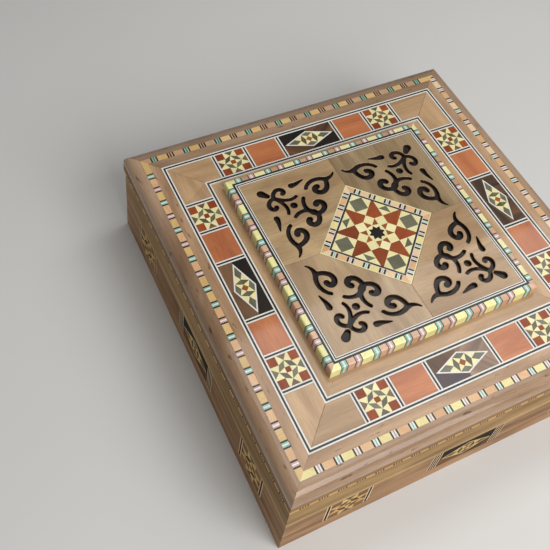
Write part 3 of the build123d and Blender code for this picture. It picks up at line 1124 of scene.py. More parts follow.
@dataclass(frozen=True)
class SquareFrame:
    """A square frame of four mitred strips, as a node has it.

    Attributes:
        middle: Middle of the frame, at the height of its top.
        inner: Half its side inside.
        outer: Half its side outside.
        depth: Its height.
        skew: Angle by which it is turned from the box.
    """

    middle: Vector
    inner: float
    outer: float
    depth: float
    skew: float = 0.0

    @classmethod
    def of(cls, node: str) -> "SquareFrame":
        """Measures the frame of a node that is square to the box.

        Args:
            node: Name of the node.

        Returns:
            The frame.
        """
        low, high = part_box(node)
        middle = top_middle(node)
        front = min(solids(node), key=lambda box: box[0].y)
        return cls(middle, middle.y - front[1].y, middle.y - front[0].y, high.z - low.z)

    @classmethod
    def cornerwise(cls, node: str, inside: str) -> "SquareFrame":
        """Measures the frame of a node that is set cornerwise.

        Args:
            node: Name of the node.
            inside: Name of the node that fills it.

        Returns:
            The frame.
        """
        low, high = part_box(node)
        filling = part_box(inside)
        outer, inner = ((ends[1].x - ends[0].x) / 2 / math.sqrt(2) for ends in ((low, high), filling))
        return cls(top_middle(node), inner, outer, high.z - low.z, QUARTER / 2)

    def places(self) -> list[Matrix]:
        """Places its strips, in turn.

        Returns:
            What turns along, across and out of each strip into places on the box.
        """
        return [
            Matrix.Translation(self.middle) @ Matrix.Rotation(self.skew + turn * QUARTER, 4, "Z")
            for turn in range(4)
        ]

    def rings(self, lines: Lines) -> Spans:
        """Divides the frame's width into rings, from outside to inside.

        Args:
            lines: Wood and relative width of each ring.

        Returns:
            The wood of each ring, and half its side inside and outside.
        """
        found, outer = [], self.outer
        for wood, share in lines:
            inner = outer - (self.outer - self.inner) * share / sum(part for _, part in lines)
            found.append((wood, inner, outer))
            outer = inner
        return found


# --------------------------------------------------------------------------------------- sub-assemblies
WALNUT = WoodFinish("walnut", (210, 174, 132), (164, 127, 87), spread=0.16)
MARGIN_WALNUT = WoodFinish(
    "margin_walnut", (200, 164, 129), (147, 112, 79), roughness=0.45, lacquer=0.5, flecks=0.8
)
# Darker copy of the margin walnut for the back margin: painted shade of the far side of the lid, which the
# lamps light less
BACK_MARGIN_SHADED_WALNUT = replace(
    MARGIN_WALNUT, name="back_margin_shaded_walnut", light=(166, 136, 107), dark=(122, 93, 66)
)
SIDE_WALNUT = bare_wood("side_walnut", (184, 150, 102), (130, 98, 62))
BASE_WALNUT = bare_wood("base_walnut", (198, 157, 118), (142, 105, 74))
PANEL_WALNUTS = {
    "back_right": WoodFinish("walnut_back_right", (170, 146, 108), (127, 102, 70), Grain.ALONG_Y),
    "back_left": WoodFinish("walnut_back_left", (198, 168, 125), (155, 125, 87), Grain.ALONG_X),
    "front_left": WoodFinish("walnut_front_left", (193, 164, 127), (151, 123, 91), Grain.ALONG_Y),
    "front_right": WoodFinish("walnut_front_right", (195, 163, 123), (155, 123, 87), Grain.ALONG_X),
}
# Dark brown of the scroll walls and of the steep facets of their rims: partly a dark stain, partly painted
# shade of the narrow slots
SCROLL_WALL = WoodFinish(
    "scroll_wall", (74, 56, 44), (38, 28, 23), Grain.ALONG_X, roughness=0.35, lacquer=0.4
)
CARCASE = WoodFinish("carcase_wood", (176, 132, 92), (128, 88, 58), roughness=0.5, lacquer=0.0)
OLIVE_PANEL = bare_wood("golden_olive_wood", (192, 153, 113), (116, 82, 55), figure=60.0)
PALE_LINE = bare_wood("pale_line_wood", (197, 166, 119), (168, 136, 93))
RED_TILE = WoodFinish("red_wood", (204, 127, 77), (163, 87, 47), figure=30.0, streaks=0.3)
DARK_BOARD = WoodFinish("dark_board", (44, 34, 30), (20, 15, 14), Grain.ALONG_X, roughness=0.4, lacquer=0.2)
BRASS = BrassFinish("hinge_brass", (226, 190, 112), (176, 138, 70))
BLACK_LINE = WoodFinish("string_black", (52, 46, 42), (30, 27, 26), Grain.ROUND_PLATEAU)
VELVET = VelvetFinish("dark_red_velvet", (96, 14, 22), (136, 26, 36), (235, 120, 120))
FLOOR = FloorFinish("pale_floor", (212, 211, 208))

BORDER_BLOCKS = (Wood.PEACH, Wood.ORANGE, Wood.PEACH, Wood.LEMON)
TEAL_GROUP = (Wood.BLACK, Wood.WHITE, Wood.TEAL, Wood.WHITE, Wood.BLACK)
PINK_GROUP = (Wood.BLACK, Wood.WHITE, Wood.PINK, Wood.WHITE, Wood.BLACK)
DOTS = (Wood.BLACK, Wood.HONEY, Wood.BLACK, Wood.HONEY, Wood.BLACK, Wood.HONEY, Wood.BLACK)
TEAL_PAIR = (Wood.BLACK, Wood.TEAL, Wood.WHITE, Wood.TEAL, Wood.BLACK)
PINK_PAIR = (Wood.BLACK, Wood.PINK, Wood.WHITE, Wood.PINK, Wood.BLACK)
# Darker, greyer groups for the back strip, with grey, tan and black in place of white and pink: painted shade
# of the far side
SHADED_TEAL = (Wood.BLACK, Wood.TEAL, Wood.GREY, Wood.TEAL, Wood.BLACK)
SHADED_PINK = (Wood.BLACK, Wood.TAN, Wood.BLACK, Wood.TAN, Wood.BLACK)
TOP_MOSAIC = Mosaic(13.9 * MM, 5.7 * MM, (Wood.HONEY, Wood.ORANGE), (TEAL_PAIR, PINK_PAIR), 1.2)
# The front and left beads are laid in the lighter cream and tan as painted light; the back and right ones
# keep the plain, darker woods as painted shade
BEAD_MOSAIC = Mosaic(
    13.25 * MM, 5.9 * MM, (Wood.LIT_PRIMROSE, Wood.LIT_FAWN), (TEAL_PAIR, PINK_PAIR), 0.5, swell=1.6 * MM
)
SHADED_BEAD_MOSAIC = replace(BEAD_MOSAIC, blocks=(Wood.TAN, Wood.CREAM), swell=-1.6 * MM)
# The strips of each frame: front, right, back and left
FRONT_MOSAIC = replace(TOP_MOSAIC, blocks=(Wood.LEMON, Wood.ORANGE), groups=(PINK_GROUP, TEAL_GROUP))
RIGHT_MOSAIC = replace(TOP_MOSAIC, blocks=(Wood.ORANGE, Wood.PEACH), groups=(TEAL_GROUP, PINK_GROUP))
# The back strip's darker blocks and groups are painted shade of the far side
SHADED_BACK_MOSAIC = replace(TOP_MOSAIC, blocks=(Wood.HONEY, Wood.TAN), groups=(SHADED_TEAL, SHADED_PINK))
TOP_STRIPS = (
    replace(FRONT_MOSAIC, lead=3.7 * MM, splice=10),
    replace(RIGHT_MOSAIC, lead=-1.0 * MM, tail=-5.8 * MM),
    replace(SHADED_BACK_MOSAIC, lead=6.8 * MM),
    replace(TOP_MOSAIC, lead=7.0 * MM, splice=9),
)
BEAD_STRIPS = (BEAD_MOSAIC, SHADED_BEAD_MOSAIC, SHADED_BEAD_MOSAIC, BEAD_MOSAIC)

# Grounds of the diamond panels on each side of the lid, and on the sides of the box
LID_GROUNDS = (
    # The front row's purple-grey quarter is dark wood with painted sheen
    (Wood.UMBER, Wood.SMOKED, Wood.SHEENED_EBONY, Wood.UMBER),
    (Wood.ROSEWOOD, Wood.ROSEWOOD, Wood.ROSEWOOD, Wood.ROSEWOOD),
    (Wood.ROSEWOOD, Wood.EBONY, Wood.ROSEWOOD, Wood.EBONY),
    (Wood.EBONY, Wood.EBONY, Wood.BROWN, Wood.BROWN),
)
BOX_GROUNDS = (Wood.EBONY, Wood.EBONY, Wood.BROWN, Wood.SMOKED)
LID_STAR, LID_DIAMOND = StarTile(), DiamondPanel()
BOX_STAR = StarTile(accent=Wood.WALNUT, point=Wood.HONEY, darts=(Wood.BROWN, Wood.SMOKED))
BOX_DIAMOND = DiamondPanel(outline=Wood.HONEY, point=Wood.HONEY)


@dataclass
class Lid:
    """The lid: its walnut, its marquetry rows and the plateau.

    Attributes:
        woods: Where the finishes come from.
        edge_mosaic: The dotted line round the lid's lower edge.
        border_mosaic: The strip round the star tile.
        edge_line: Height of the dotted line.
        hinge_notch: Height of the notches over the hinges.
        hinge_gap: Gap at each end of a hinge.
        border_line: Width of the lines along the border, cream outside and black and white inside.
        bead_line: Width of the black line along the bead moulding's inside.
        bead_radius: Radius of the bead moulding's outer edge.
        bead_steps: How many facets that edge has.
    """

    woods: Woodyard
    edge_mosaic: Mosaic = Mosaic(13.9 * MM, 7.0 * MM, (Wood.HONEY,), (DOTS,), 1.4)
    border_mosaic: Mosaic = Mosaic(12.6 * MM, 5.3 * MM, BORDER_BLOCKS, (TEAL_GROUP, PINK_GROUP), 2.0)
    edge_line: float = 2.3 * MM
    hinge_notch: float = 1.3 * MM
    hinge_gap: float = 0.1 * MM
    border_line: float = 0.7 * MM
    bead_line: float = 0.7 * MM
    bead_radius: float = 1.3 * MM
    bead_steps: int = 6

    def build(self) -> None:
        """Dresses the lid's solids and lays its marquetry."""
        self.dress()
        self.lay_strings()
        self.lay_tiles()
        self.lay_top_mosaic()
        self.lay_edge_mosaic()
        self.lay_pierced_panels()
        self.lay_centre()
        self.lay_bead()

    def dress(self) -> None:
        """Gives the plain wooden solids their woods."""
        for side in SIDES:
            # The back margin takes the darker copy of the margin walnut, as painted shade
            finish = BACK_MARGIN_SHADED_WALNUT if side == "back" else MARGIN_WALNUT
            greyed = replace(finish, greyer_beyond=SquareFrame.of("top_mosaic").outer)
            self.woods.dress(greyed, f"lid_{side}_margin")
        self.woods.dress(WALNUT, "corner_panels", "inner_band")
        self.woods.dress(CARCASE, "lid_board", *(f"lid_{side}_wall" for side in SIDES))
        self.woods.dress(RED_TILE, "red_tiles")
        self.woods.dress(DARK_BOARD, "plateau_board")
        self.woods.dress(BLACK_LINE, "centre_line")

    def lay_strings(self) -> None:
        """Lays the string lines round the rows and between their tiles."""
        lines = {"outer_string": STRING, "middle_string": STRING, "inner_string": BEAD_STRING}
        for node, string in lines.items():
            frame = SquareFrame.of(node)
            inlay = Inlay()
            for place in frame.places():
                rings = frame.rings(string)
                slips = [(wood, mitred(-outer, outer, inner, outer)) for wood, inner, outer in rings]
                inlay.lay(place, frame.depth, slips)
            inlay.finish(f"{node}_lines", "lid", "string_inlay", [node], self.woods)
        dividers = Inlay()
        dividers.fill("divider_strings", lambda seat: string_slips(seat, STRING))
        dividers.finish("divider_lines", "lid", "string_inlay", ["divider_strings"], self.woods)

    def lay_tiles(self) -> None:
        """Lays the star tiles and the diamond panels of the rows."""
        stars, diamonds = Inlay(), Inlay()
        stars.fill("star_tiles", LID_STAR.slips)
        diamonds.fill("diamond_panels", lambda seat: LID_DIAMOND.slips(seat, LID_GROUNDS[seat.turn]))
        stars.finish("star_tile_slips", "lid", "marquetry", ["star_tiles"], self.woods)
        diamonds.finish("diamond_panel_slips", "lid", "marquetry", ["diamond_panels"], self.woods)

    def lay_top_mosaic(self) -> None:
        """Lays the mosaic strip in the margin."""
        frame, inlay = SquareFrame.of("top_mosaic"), Inlay()
        for strip, place in zip(TOP_STRIPS, frame.places()):
            spans = strip.spans(frame.outer)
            slips = [(wood, mitred(near, far, frame.inner, frame.outer)) for wood, near, far in spans]
            inlay.lay(place, frame.depth, slips)
        inlay.finish("top_mosaic_slips", "lid", "mosaic", ["top_mosaic"], self.woods)

    def lay_edge_mosaic(self) -> None:
        """Lays the dotted line round the lid's lower edge, and the plain strip over it."""
        frame, inlay = SquareFrame.of("edge_mosaic"), Inlay()
        thickness = frame.outer - frame.inner
        hinges = [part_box(f"{side}_hinge_lid_leaf") for side in ("left", "right")]
        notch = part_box("lid_back_wall")[0].z + self.hinge_notch
        low = frame.middle.z - frame.depth
        top = low + self.edge_line
        for turn in range(4):
            half = frame.outer if turn % 2 == 0 else frame.inner
            spin = Matrix.Rotation(turn * QUARTER, 4, "Z")
            lift = Matrix.Translation((0.0, -frame.outer, 0.0)) @ Matrix.Rotation(QUARTER, 4, "X")
            cuts = sorted({-half, half, *self._hinge_cuts(hinges, turn)})
            slips = [(Wood.WALNUT, rectangle(-half, half, top, low + frame.depth))]
            spans = self.edge_mosaic.spans(half)
            for number, (near, far) in enumerate(zip(cuts, cuts[1:])):
                bottom = notch if number % 2 else low
                inside = [(wood, max(start, near), min(end, far)) for wood, start, end in spans]
                slips += [
                    (wood, rectangle(start, end, bottom, top)) for wood, start, end in inside if end > start
                ]
            inlay.lay(spin @ lift, thickness, slips)
        inlay.finish("edge_mosaic_slips", "lid", "mosaic", ["edge_mosaic"], self.woods, oiled=True)

    def _hinge_cuts(self, hinges: Iterable[Bounds], turn: int) -> list[float]:
        """Finds where the hinge leaves start and end along the back.

        Args:
            hinges: Boxes of the lid leaves.
            turn: Quarter turns of the side.

        Returns:
            Distances along the side, none for the others.
        """
        if turn != 2:
            return []
        return [cut for low, high in hinges for cut in (-low.x + self.hinge_gap, -high.x - self.hinge_gap)]

    def lay_pierced_panels(self) -> None:
        """Cuts the four scroll panels, each from its own piece of walnut."""
        for corner, walnut in PANEL_WALNUTS.items():
            node = f"pierced_panel_{corner}"
            materials = [self.woods.of(walnut), self.woods.of(SCROLL_WALL)]
            piece = new_piece(f"{node}_cut", PiercedPanel(node).mesh(), materials)
            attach(piece, "lid")
            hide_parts(node)

    def lay_centre(self) -> None:
        """Lays the star tile in the middle of the plateau and the border round it."""
        low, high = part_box("centre_tile")
        tile = Inlay()
        place = Matrix.Translation(top_middle("centre_tile"))
        tile.lay(place, high.z - low.z, CentreTile((high.x - low.x) / 2).slips())
        tile.finish("centre_tile_slips", "lid", "marquetry", ["centre_tile"], self.woods)
        frame, border = SquareFrame.cornerwise("centre_border", "centre_line"), Inlay()
        slip_outer = frame.outer - self.border_line
        slip_inner = frame.inner + self.border_line
        line_middle = (frame.inner + slip_inner) / 2
        for spot in frame.places():
            slips = [
                (Wood.CREAM, mitred(-frame.outer, frame.outer, slip_outer, frame.outer)),
                (Wood.BLACK, mitred(-line_middle, line_middle, frame.inner, line_middle)),
                (Wood.WHITE, mitred(-slip_inner, slip_inner, line_middle, slip_inner)),
            ]
            for wood, near, far in self.border_mosaic.spans(slip_outer):
                slips.append((wood, mitred(near, far, slip_inner, slip_outer)))
            border.lay(spot, frame.depth, slips)
        border.finish("centre_border_slips", "lid", "mosaic", ["centre_border"], self.woods)

    def lay_bead(self) -> None:
        """Lays the rounded mosaic moulding round the plateau."""
        frame = SquareFrame.of("bead_mouldings")
        radius, inside = self.bead_radius, frame.inner + self.bead_line
        profile = [(inside, 0.0), (inside, -frame.depth), (frame.outer, -frame.depth)]
        for step in range(self.bead_steps + 1):
            angle = QUARTER * step / self.bead_steps
            out = frame.outer - radius + radius * math.cos(angle)
            profile.append((out, radius * (math.sin(angle) - 1)))
        inlay = Inlay()
        for strip, place in zip(BEAD_STRIPS, frame.places()):
            inlay.lay(place, frame.depth, [(Wood.BLACK, mitred(-inside, inside, frame.inner, inside))])
            for wood, near, far in strip.spans(frame.outer):
                inlay.run(place, wood, near, far, profile)
        inlay.finish("bead_mosaic_slips", "lid", "mosaic", ["bead_mouldings"], self.woods)


@dataclass(frozen=True)
class PiercedPanel:
    """A board with scrolls cut through it, with smooth curves and rims that are rounded over.

    Attributes:
        node: The plain board that it stands for.
        rim: Radius of the rims.
        edge_rim: How much of that radius is left on the board's own edges.
        spacing: Distance between the points of a scroll's outline.
        softenings: How often the outline is evened out.
        rim_steps: How many facets the rims have.
        upward: How far a face of the top looks up at least.
        level: How far a level face looks up or down at least.
        crease: Angle in degrees from which an edge stays sharp.
    """

    node: str
    rim: float = 0.55 * MM
    edge_rim: float = 0.3 * MM
    spacing: float = 0.45 * MM
    softenings: int = 5
    rim_steps: int = 3
    upward: float = 0.5
    level: float = 0.9999
    crease: float = 50.0

    def mesh(self) -> bmesh.types.BMesh:
        """Cuts the board.

        Returns:
            Its mesh, with material 0 above and 1 on the walls of the scrolls.
        """
        low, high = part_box(self.node)
        outline, *scrolls = sorted(self._outlines(high.z), key=self._span, reverse=True)
        wide = self._swollen(outline, self.rim - self.edge_rim)
        curve = bpy.data.curves.new(self.node, "CURVE")
        curve.dimensions = "2D"
        curve.fill_mode = "BOTH"
        curve.bevel_depth = self.rim
        curve.bevel_resolution = self.rim_steps - 1
        curve.extrude = (high.z - low.z) / 2 - self.rim
        curve.offset = -self.rim
        for points in (wide, *(self._softened(scroll) for scroll in scrolls)):
            spline = curve.splines.new("POLY")
            spline.points.add(len(points) - 1)
            spline.use_cyclic_u = True
            for target, point in zip(spline.points, points):
                target.co = (point.x, point.y, 0.0, 1.0)
        holder = bpy.data.objects.new(self.node + "_curve", curve)
        bpy.context.scene.collection.objects.link(holder)
        solid = bpy.data.meshes.new_from_object(holder.evaluated_get(bpy.context.evaluated_depsgraph_get()))
        mesh = bmesh.new()
        mesh.from_mesh(solid)
        bpy.data.objects.remove(holder)
        bpy.data.curves.remove(curve)
        bpy.data.meshes.remove(solid)
        bmesh.ops.translate(mesh, verts=mesh.verts, vec=(0.0, 0.0, (low.z + high.z) / 2))
        bmesh.ops.remove_doubles(mesh, verts=mesh.verts, dist=CURVE_WELD)
        for corner, out in zip(outline, self._ways_out(outline)):
            cut_off(mesh, corner, out)
        self._finish(mesh)
        return mesh

    def _outlines(self, top: float) -> list[list[Vector]]:
        """Finds the closed outlines of the plain board's top.

        Args:
            top: Height of its top.

        Returns:
            The points of each outline, in turn.
        """
        copy, close = merged(self.node), 0.01 * MM
        upper = {face for face in copy.faces if all(abs(vert.co.z - top) < close for vert in face.verts)}
        rims = [edge for edge in copy.edges if sum(face in upper for face in edge.link_faces) == 1]
        left, found = set(rims), []
        for first in rims:
            if first not in left:
                continue
            left.remove(first)
            start, vert = first.verts
            points = [start.co.copy()]
            while vert is not start:
                points.append(vert.co.copy())
                edge = next(other for other in vert.link_edges if other in left)
                left.remove(edge)
                vert = edge.other_vert(vert)
            found.append(points)
        copy.free()
        return found

    @staticmethod
    def _span(points: Sequence[Vector]) -> float:
        """Gives the length of an outline along X."""
        return max(point.x for point in points) - min(point.x for point in points)

    @staticmethod
    def _ways_out(outline: Sequence[Vector]) -> list[Vector]:
        """Finds the way out of a convex outline for each of its sides.

        Args:
            outline: Its corners, in turn.

        Returns:
            For each corner, the direction square to the side that ends there.
        """
        middle = sum(outline, Vector()) / len(outline)
        found = []
        for number, corner in enumerate(outline):
            side = corner - outline[number - 1]
            out = Vector((side.y, -side.x, 0.0)).normalized()
            found.append(out if out.dot(corner - middle) > 0 else -out)
        return found

    def _swollen(self, outline: Sequence[Vector], swell: float) -> list[Vector]:
        """Moves the sides of a convex outline outwards by an even amount.

        Args:
            outline: Its corners, in turn.
            swell: The amount.

        Returns:
            Its new corners.
        """
        outs = self._ways_out(outline)
        found = []
        for corner, before, after in zip(outline, outs, [*outs[1:], outs[0]]):
            found.append(corner + (before + after) * swell / (1 + before.dot(after)))
        return found

    def _softened(self, points: Sequence[Vector]) -> list[Vector]:
        """Evens out a closed outline, so that its facets turn into a smooth curve.

        Args:
            points: Its points, in turn.

        Returns:
            The points of the curve.
        """
        ring = [*points, points[0]]
        found = []
        for start, end in zip(ring, ring[1:]):
            count = max(1, round((end - start).length / self.spacing))
            found += [start.lerp(end, step / count) for step in range(count)]
        for _ in range(self.softenings):
            found = [
                (found[number - 1] + 2 * found[number] + found[(number + 1) % len(found)]) / 4
                for number in range(len(found))
            ]
        return found

    def _finish(self, mesh: bmesh.types.BMesh) -> None:
        """Shades the rims smooth and tells the walls of the scrolls from the top.

        Args:
            mesh: The board.
        """
        bmesh.ops.recalc_face_normals(mesh, faces=mesh.faces)
        for face in mesh.faces:
            face.smooth = True
            # Walls and steep rim facets take the dark scroll wall wood, partly painted shade
            face.material_index = 0 if face.normal.z > self.upward else 1
        for edge in mesh.edges:
            level = {abs(face.normal.z) > self.level for face in edge.link_faces}
            edge.smooth = len(level) == 1 and edge.calc_face_angle(0.0) < math.radians(self.crease)


@dataclass(frozen=True)
class CentreTile:
    """The star tile in the middle of the plateau, set cornerwise.

    Attributes:
        reach: Distance from its middle to its corners.
        drawn: The same distance in the units of the sizes below.
        square: Distance of the grey squares from the middle.
        square_half: Half the side of a grey square.
        edge: Distance of the red slips' inner edges from the middle.
        point: Distance of the red slips' meeting point from the middle.
        cell: Distance of the inner slips' edges from the middle.
        fold: Where the small rust slips end.
        star: Reach of the dark star's points.
        notch: Reach of the notches between them.
    """

    reach: float
    drawn: float = 38.8
    square: float = 28.0
    square_half: float = 5.4
    edge: float = 12.3
    point: float = 17.2
    cell: float = 4.9
    fold: float = 6.4
    star: float = 6.6
    notch: float = 4.4

    def slips(self) -> Slips:
        """Cuts the slips of the tile.

        Returns:
            The wood and the corners of each slip, along the box's own sides.
        """
        pattern = []
        for turn in range(4):
            quarter = self._squares() + self._middles()
            for flip in (False, True):
                quarter += [(wood, mirrored(corners, flip, False)) for wood, corners in self._flanks()]
            pattern += [(wood, turned(corners, turn)) for wood, corners in quarter]
        along, across = self._notch()
        bend = self._bend()
        star = []
        for turn in range(4):
            star += turned([(0.0, self.star), (-along, across), (-bend, bend), (-across, along)], turn)
        pattern.append((Wood.EBONY, star))
        unit = self.reach / self.drawn
        return [(wood, [(x * unit, y * unit) for x, y in corners]) for wood, corners in pattern]

    def _bend(self) -> float:
        """Gives how far along and across the dark star's slanting points reach."""
        return self.star / math.sqrt(2)

    def _notch(self) -> Point:
        """Gives the first notch of the dark star."""
        return (self.notch * math.sin(math.pi / 8), self.notch * math.cos(math.pi / 8))

    def _squares(self) -> Slips:
        """Cuts the grey square of one corner and the four triangles on its sides.

        Returns:
            The wood and the corners of each slip.
        """
        half, middle = self.square_half, self.square
        slips = [(Wood.GREY, rectangle(-half, half, middle - half, middle + half))]
        for turn in range(4):
            triangle = turned([(-half, half), (half, half), (0.0, 2 * half)], turn)
            slips.append((Wood.CREAM, [(x, y + middle) for x, y in triangle]))
        return slips

    def _middles(self) -> Slips:
        """Cuts the slips of one quarter that have no mirrored twin.

        Returns:
            The wood and the corners of each slip.
        """
        edge, cell, halfway = self.edge, self.cell, self.drawn / 2
        return [
            (Wood.CREAM, rectangle(cell, edge, cell, edge)),
            (Wood.CREAM, [(0.0, self.point), (cell, edge), (0.0, 2 * edge - self.point), (-cell, edge)]),
            (Wood.CREAM, [(edge, edge), (halfway, edge), (edge, halfway)]),
            (Wood.GREY, [(halfway, halfway), (edge, halfway), (halfway, edge)]),
        ]

    def _flanks(self) -> Slips:
        """Cuts the slips on the right of one quarter's middle.

        Returns:
            The wood and the corners of each slip.
        """
        edge, cell, fold, halfway = self.edge, self.cell, self.fold, self.drawn / 2
        tip, bend = (0.0, 2 * edge - self.point), self._bend()
        side, far = (2 * self.square_half, self.square), (edge, self.drawn - edge)
        inner = [(0.0, self.star), tip, (cell, fold), (cell, cell), (bend, bend), self._notch()]
        return [
            (Wood.RED, [(0.0, self.point), side, far, (edge, edge), (cell, edge)]),
            (Wood.RUST, [(cell, edge), (cell, fold), tip]),
            (Wood.CREAM, inner),
            (Wood.CREAM, [(edge, halfway), (halfway, halfway), far]),
        ]


@dataclass
class Box:
    """The box: its carcase, and the bands and marquetry on its sides.

    Attributes:
        woods: Where the finishes come from.
        wide: How many times as wide as the narrowest one a bar is that holds the wide string.
    """

    woods: Woodyard
    wide: float = 1.5

    def build(self) -> None:
        """Dresses the box's solids and lays the marquetry of its sides."""
        self.woods.dress(CARCASE, "bottom_panel", "partition", *(f"{side}_wall" for side in SIDES))
        self.woods.dress(OLIVE_PANEL, "side_fields", "corner_fields")
        self.woods.dress(SIDE_WALNUT, "upper_band")
        self.woods.dress(BASE_WALNUT, "base_band")
        self.woods.dress(PALE_LINE, "pale_line")
        bars, stars, diamonds = Inlay(), Inlay(), Inlay()
        limit = self.wide * min(seat_of(box).half_along for box in solids("side_bars"))
        bars.fill(
            "side_bars",
            lambda seat: string_slips(seat, SIDE_STRING if seat.half_along < limit else WIDE_SIDE_STRING),
        )
        stars.fill("side_star_tiles", BOX_STAR.slips)
        diamonds.fill("side_diamond_panels", lambda seat: BOX_DIAMOND.slips(seat, BOX_GROUNDS))
        bars.finish("side_bar_lines", "box", "string_inlay", ["side_bars"], self.woods, oiled=True)
        stars.finish("side_star_slips", "box", "marquetry", ["side_star_tiles"], self.woods, oiled=True)
        diamonds.finish(
            "side_diamond_slips", "box", "marquetry", ["side_diamond_panels"], self.woods, oiled=True
        )


@dataclass
class Lining:
    """The velvet lining: thin padded boards on the floor, the walls and inside the lid.

    Attributes:
        woods: Where the finishes come from.
        cuts: How often each pad is divided each way.
        shoulder: How sharply the pads round off at their edges.
        edge: Thickness of the pads at their edges, as a share of the whole.
        whole_side: Length from which a solid of the wall lining is a whole side of it.
    """

    woods: Woodyard
    cuts: int = 22
    shoulder: float = 10.0
    edge: float = 0.55
    whole_side: float = 0.2

    def build(self) -> None:
        """Upholsters the pads and the walls."""
        up, down = Vector((0.0, 0.0, 1.0)), Vector((0.0, 0.0, -1.0))
        for side in ("left", "right"):
            node = f"{side}_floor_pad"
            self.pad(f"{side}_floor_velvet", "box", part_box(node), up, [node])
        self.pad("lid_velvet", "lid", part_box("lid_pad"), down, ["lid_pad"])
        low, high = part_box("wall_lining")
        sizes = [box[1] - box[0] for box in solids("wall_lining")]
        thickness = max(size.y for size in sizes if size.x > self.whole_side)
        for name, axis, sign in (("front", 1, -1), ("back", 1, 1), ("left", 0, -1), ("right", 0, 1)):
            first, last = low.copy(), high.copy()
            first[axis] = high[axis] - thickness if sign > 0 else low[axis]
            last[axis] = high[axis] if sign > 0 else low[axis] + thickness
            if axis == 1:
                first.x += thickness
                last.x -= thickness
            inward = Vector((0.0, 0.0, 0.0))
            inward[axis] = -sign
            self.pad(f"{name}_wall_velvet", "box", (first, last), inward, ["wall_lining"])

    def pad(self, name: str, body: str, box: Bounds, face: Vector, nodes: Sequence[str]) -> None:
        """Makes one padded board, flat behind and crowned in front.

        Args:
            name: Name of the piece.
            body: The body that it rides on.
            box: The space that it fills.
            face: Direction that its crowned side faces.
            nodes: The plain solids that it stands for.
        """
        low, high = box
        middle, half = (low + high) / 2, (high - low) / 2
        thin = max(range(3), key=lambda axis: abs(face[axis]))
        mesh = bmesh.new()
        bmesh.ops.create_cube(mesh, size=2.0)
        # The cube reaches from -1 to 1, and its edges through the pad's thickness stay whole
        edges = [edge for edge in mesh.edges if edge.verts[0].co[thin] * edge.verts[1].co[thin] > 0]
        bmesh.ops.subdivide_edges(mesh, edges=edges, cuts=self.cuts, use_grid_fill=True)
        for vert in mesh.verts:
            spread = [vert.co[axis] for axis in range(3) if axis != thin]
            inside = [1 - abs(part) ** self.shoulder for part in spread]
            crown = self.edge + (1 - self.edge) * math.sqrt(inside[0] * inside[1])
            share = crown if vert.co[thin] * face[thin] > 0 else 1.0
            place = Vector([vert.co[axis] * half[axis] for axis in range(3)])
            back = -face[thin] * half[thin]
            place[thin] = back + (place[thin] - back) * share
            vert.co = middle + place
        bmesh.ops.recalc_face_normals(mesh, faces=mesh.faces)
        for polygon in mesh.faces:
            polygon.smooth = True
        piece = new_piece(name, mesh, [self.woods.of(VELVET)])
        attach(piece, body)
        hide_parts(*nodes)


@dataclass
class Hinges:
    """The two brass butt hinges and their slotted screws.

    Attributes:
        woods: Where the finishes come from.
        screw_along: Distance of the screws from the hinge's middle.
        screw_in: Distance of the screws from a leaf's inner edge.
        radius: Radius of the screw heads.
        proud: How far the heads stand out of the leaves.
        slot: Half the width of their slots.
        slot_depth: Depth of their slots.
        segments: Sides of the heads.
        slot_turn: Angle by which the two slots of a leaf are turned apart, each way.
        margin: Depth of a leaf's inner edge, where the height of its plate is measured.
    """

    woods: Woodyard
    screw_along: float = 10.0 * MM
    screw_in: float = 4.0 * MM
    radius: float = 2.0 * MM
    proud: float = 0.08 * MM
    slot: float = 0.25 * MM
    slot_depth: float = 0.3 * MM
    segments: int = 28
    slot_turn: float = 0.5
    margin: float = 0.1 * MM

    def build(self) -> None:
        """Dresses the hinges and drives their screws."""
        nodes = [f"{side}_hinge_{half}_leaf" for side in ("left", "right") for half in ("box", "lid")]
        self.woods.dress(BRASS, *nodes, "hinge_pins")
        for body, face in (("box", 1.0), ("lid", -1.0)):
            heads = bmesh.new()
            for number, side in enumerate(("left", "right")):
                leaf = f"{side}_hinge_{body}_leaf"
                middle, level = top_middle(leaf).x, self._plate_face(leaf, face)
                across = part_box(leaf)[0].y + self.screw_in
                for end in (-1, 1):
                    place = Vector((middle + end * self.screw_along, across, level))
                    self._head(heads, place, face, self.slot_turn * end + number)
            piece = new_piece(f"{body}_leaf_screws", heads, [self.woods.of(BRASS)])
            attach(piece, body)

    def _plate_face(self, node: str, face: float) -> float:
        """Finds the height of a leaf's face that carries the screw heads.

        Args:
            node: Name of the leaf.
            face: 1 for its upper face, -1 for its lower one.

        Returns:
            The height.
        """
        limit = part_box(node)[0].y + self.margin
        verts = bpy.data.objects[node].data.vertices
        return max(vert.co.z * face for vert in verts if vert.co.y < limit) * face

    def _head(self, heads: bmesh.types.BMesh, place: Vector, face: float, turn: float) -> None:
        """Adds one slotted head: a disc with two half discs on it.

        Args:
            heads: The mesh that it is added to.
            place: Its middle, on the face of the leaf.
            face: 1 if it looks up, -1 if it looks down.
            turn: Angle of its slot.
        """
        spin = Matrix.Translation(place) @ Matrix.Rotation(turn, 4, "Z")
        floor, radii = self.proud - self.slot_depth, {"radius1": self.radius, "radius2": self.radius}
        layers = ((0, -2 * self.slot_depth, floor), (-1, floor, self.proud), (1, floor, self.proud))
        for side, bottom, top in layers:
            disc = bmesh.new()
            bmesh.ops.create_cone(disc, cap_ends=True, segments=self.segments, depth=top - bottom, **radii)
            bmesh.ops.translate(disc, verts=disc.verts, vec=(0.0, 0.0, face * (top + bottom) / 2))
            if side:
                cut_off(disc, (side * self.slot, 0.0, 0.0), (-side, 0.0, 0.0))
            bmesh.ops.transform(disc, matrix=spin, verts=disc.verts)
            data = bpy.data.meshes.new("disc")
            disc.to_mesh(data)
            disc.free()
            heads.from_mesh(data)
            bpy.data.meshes.remove(data)


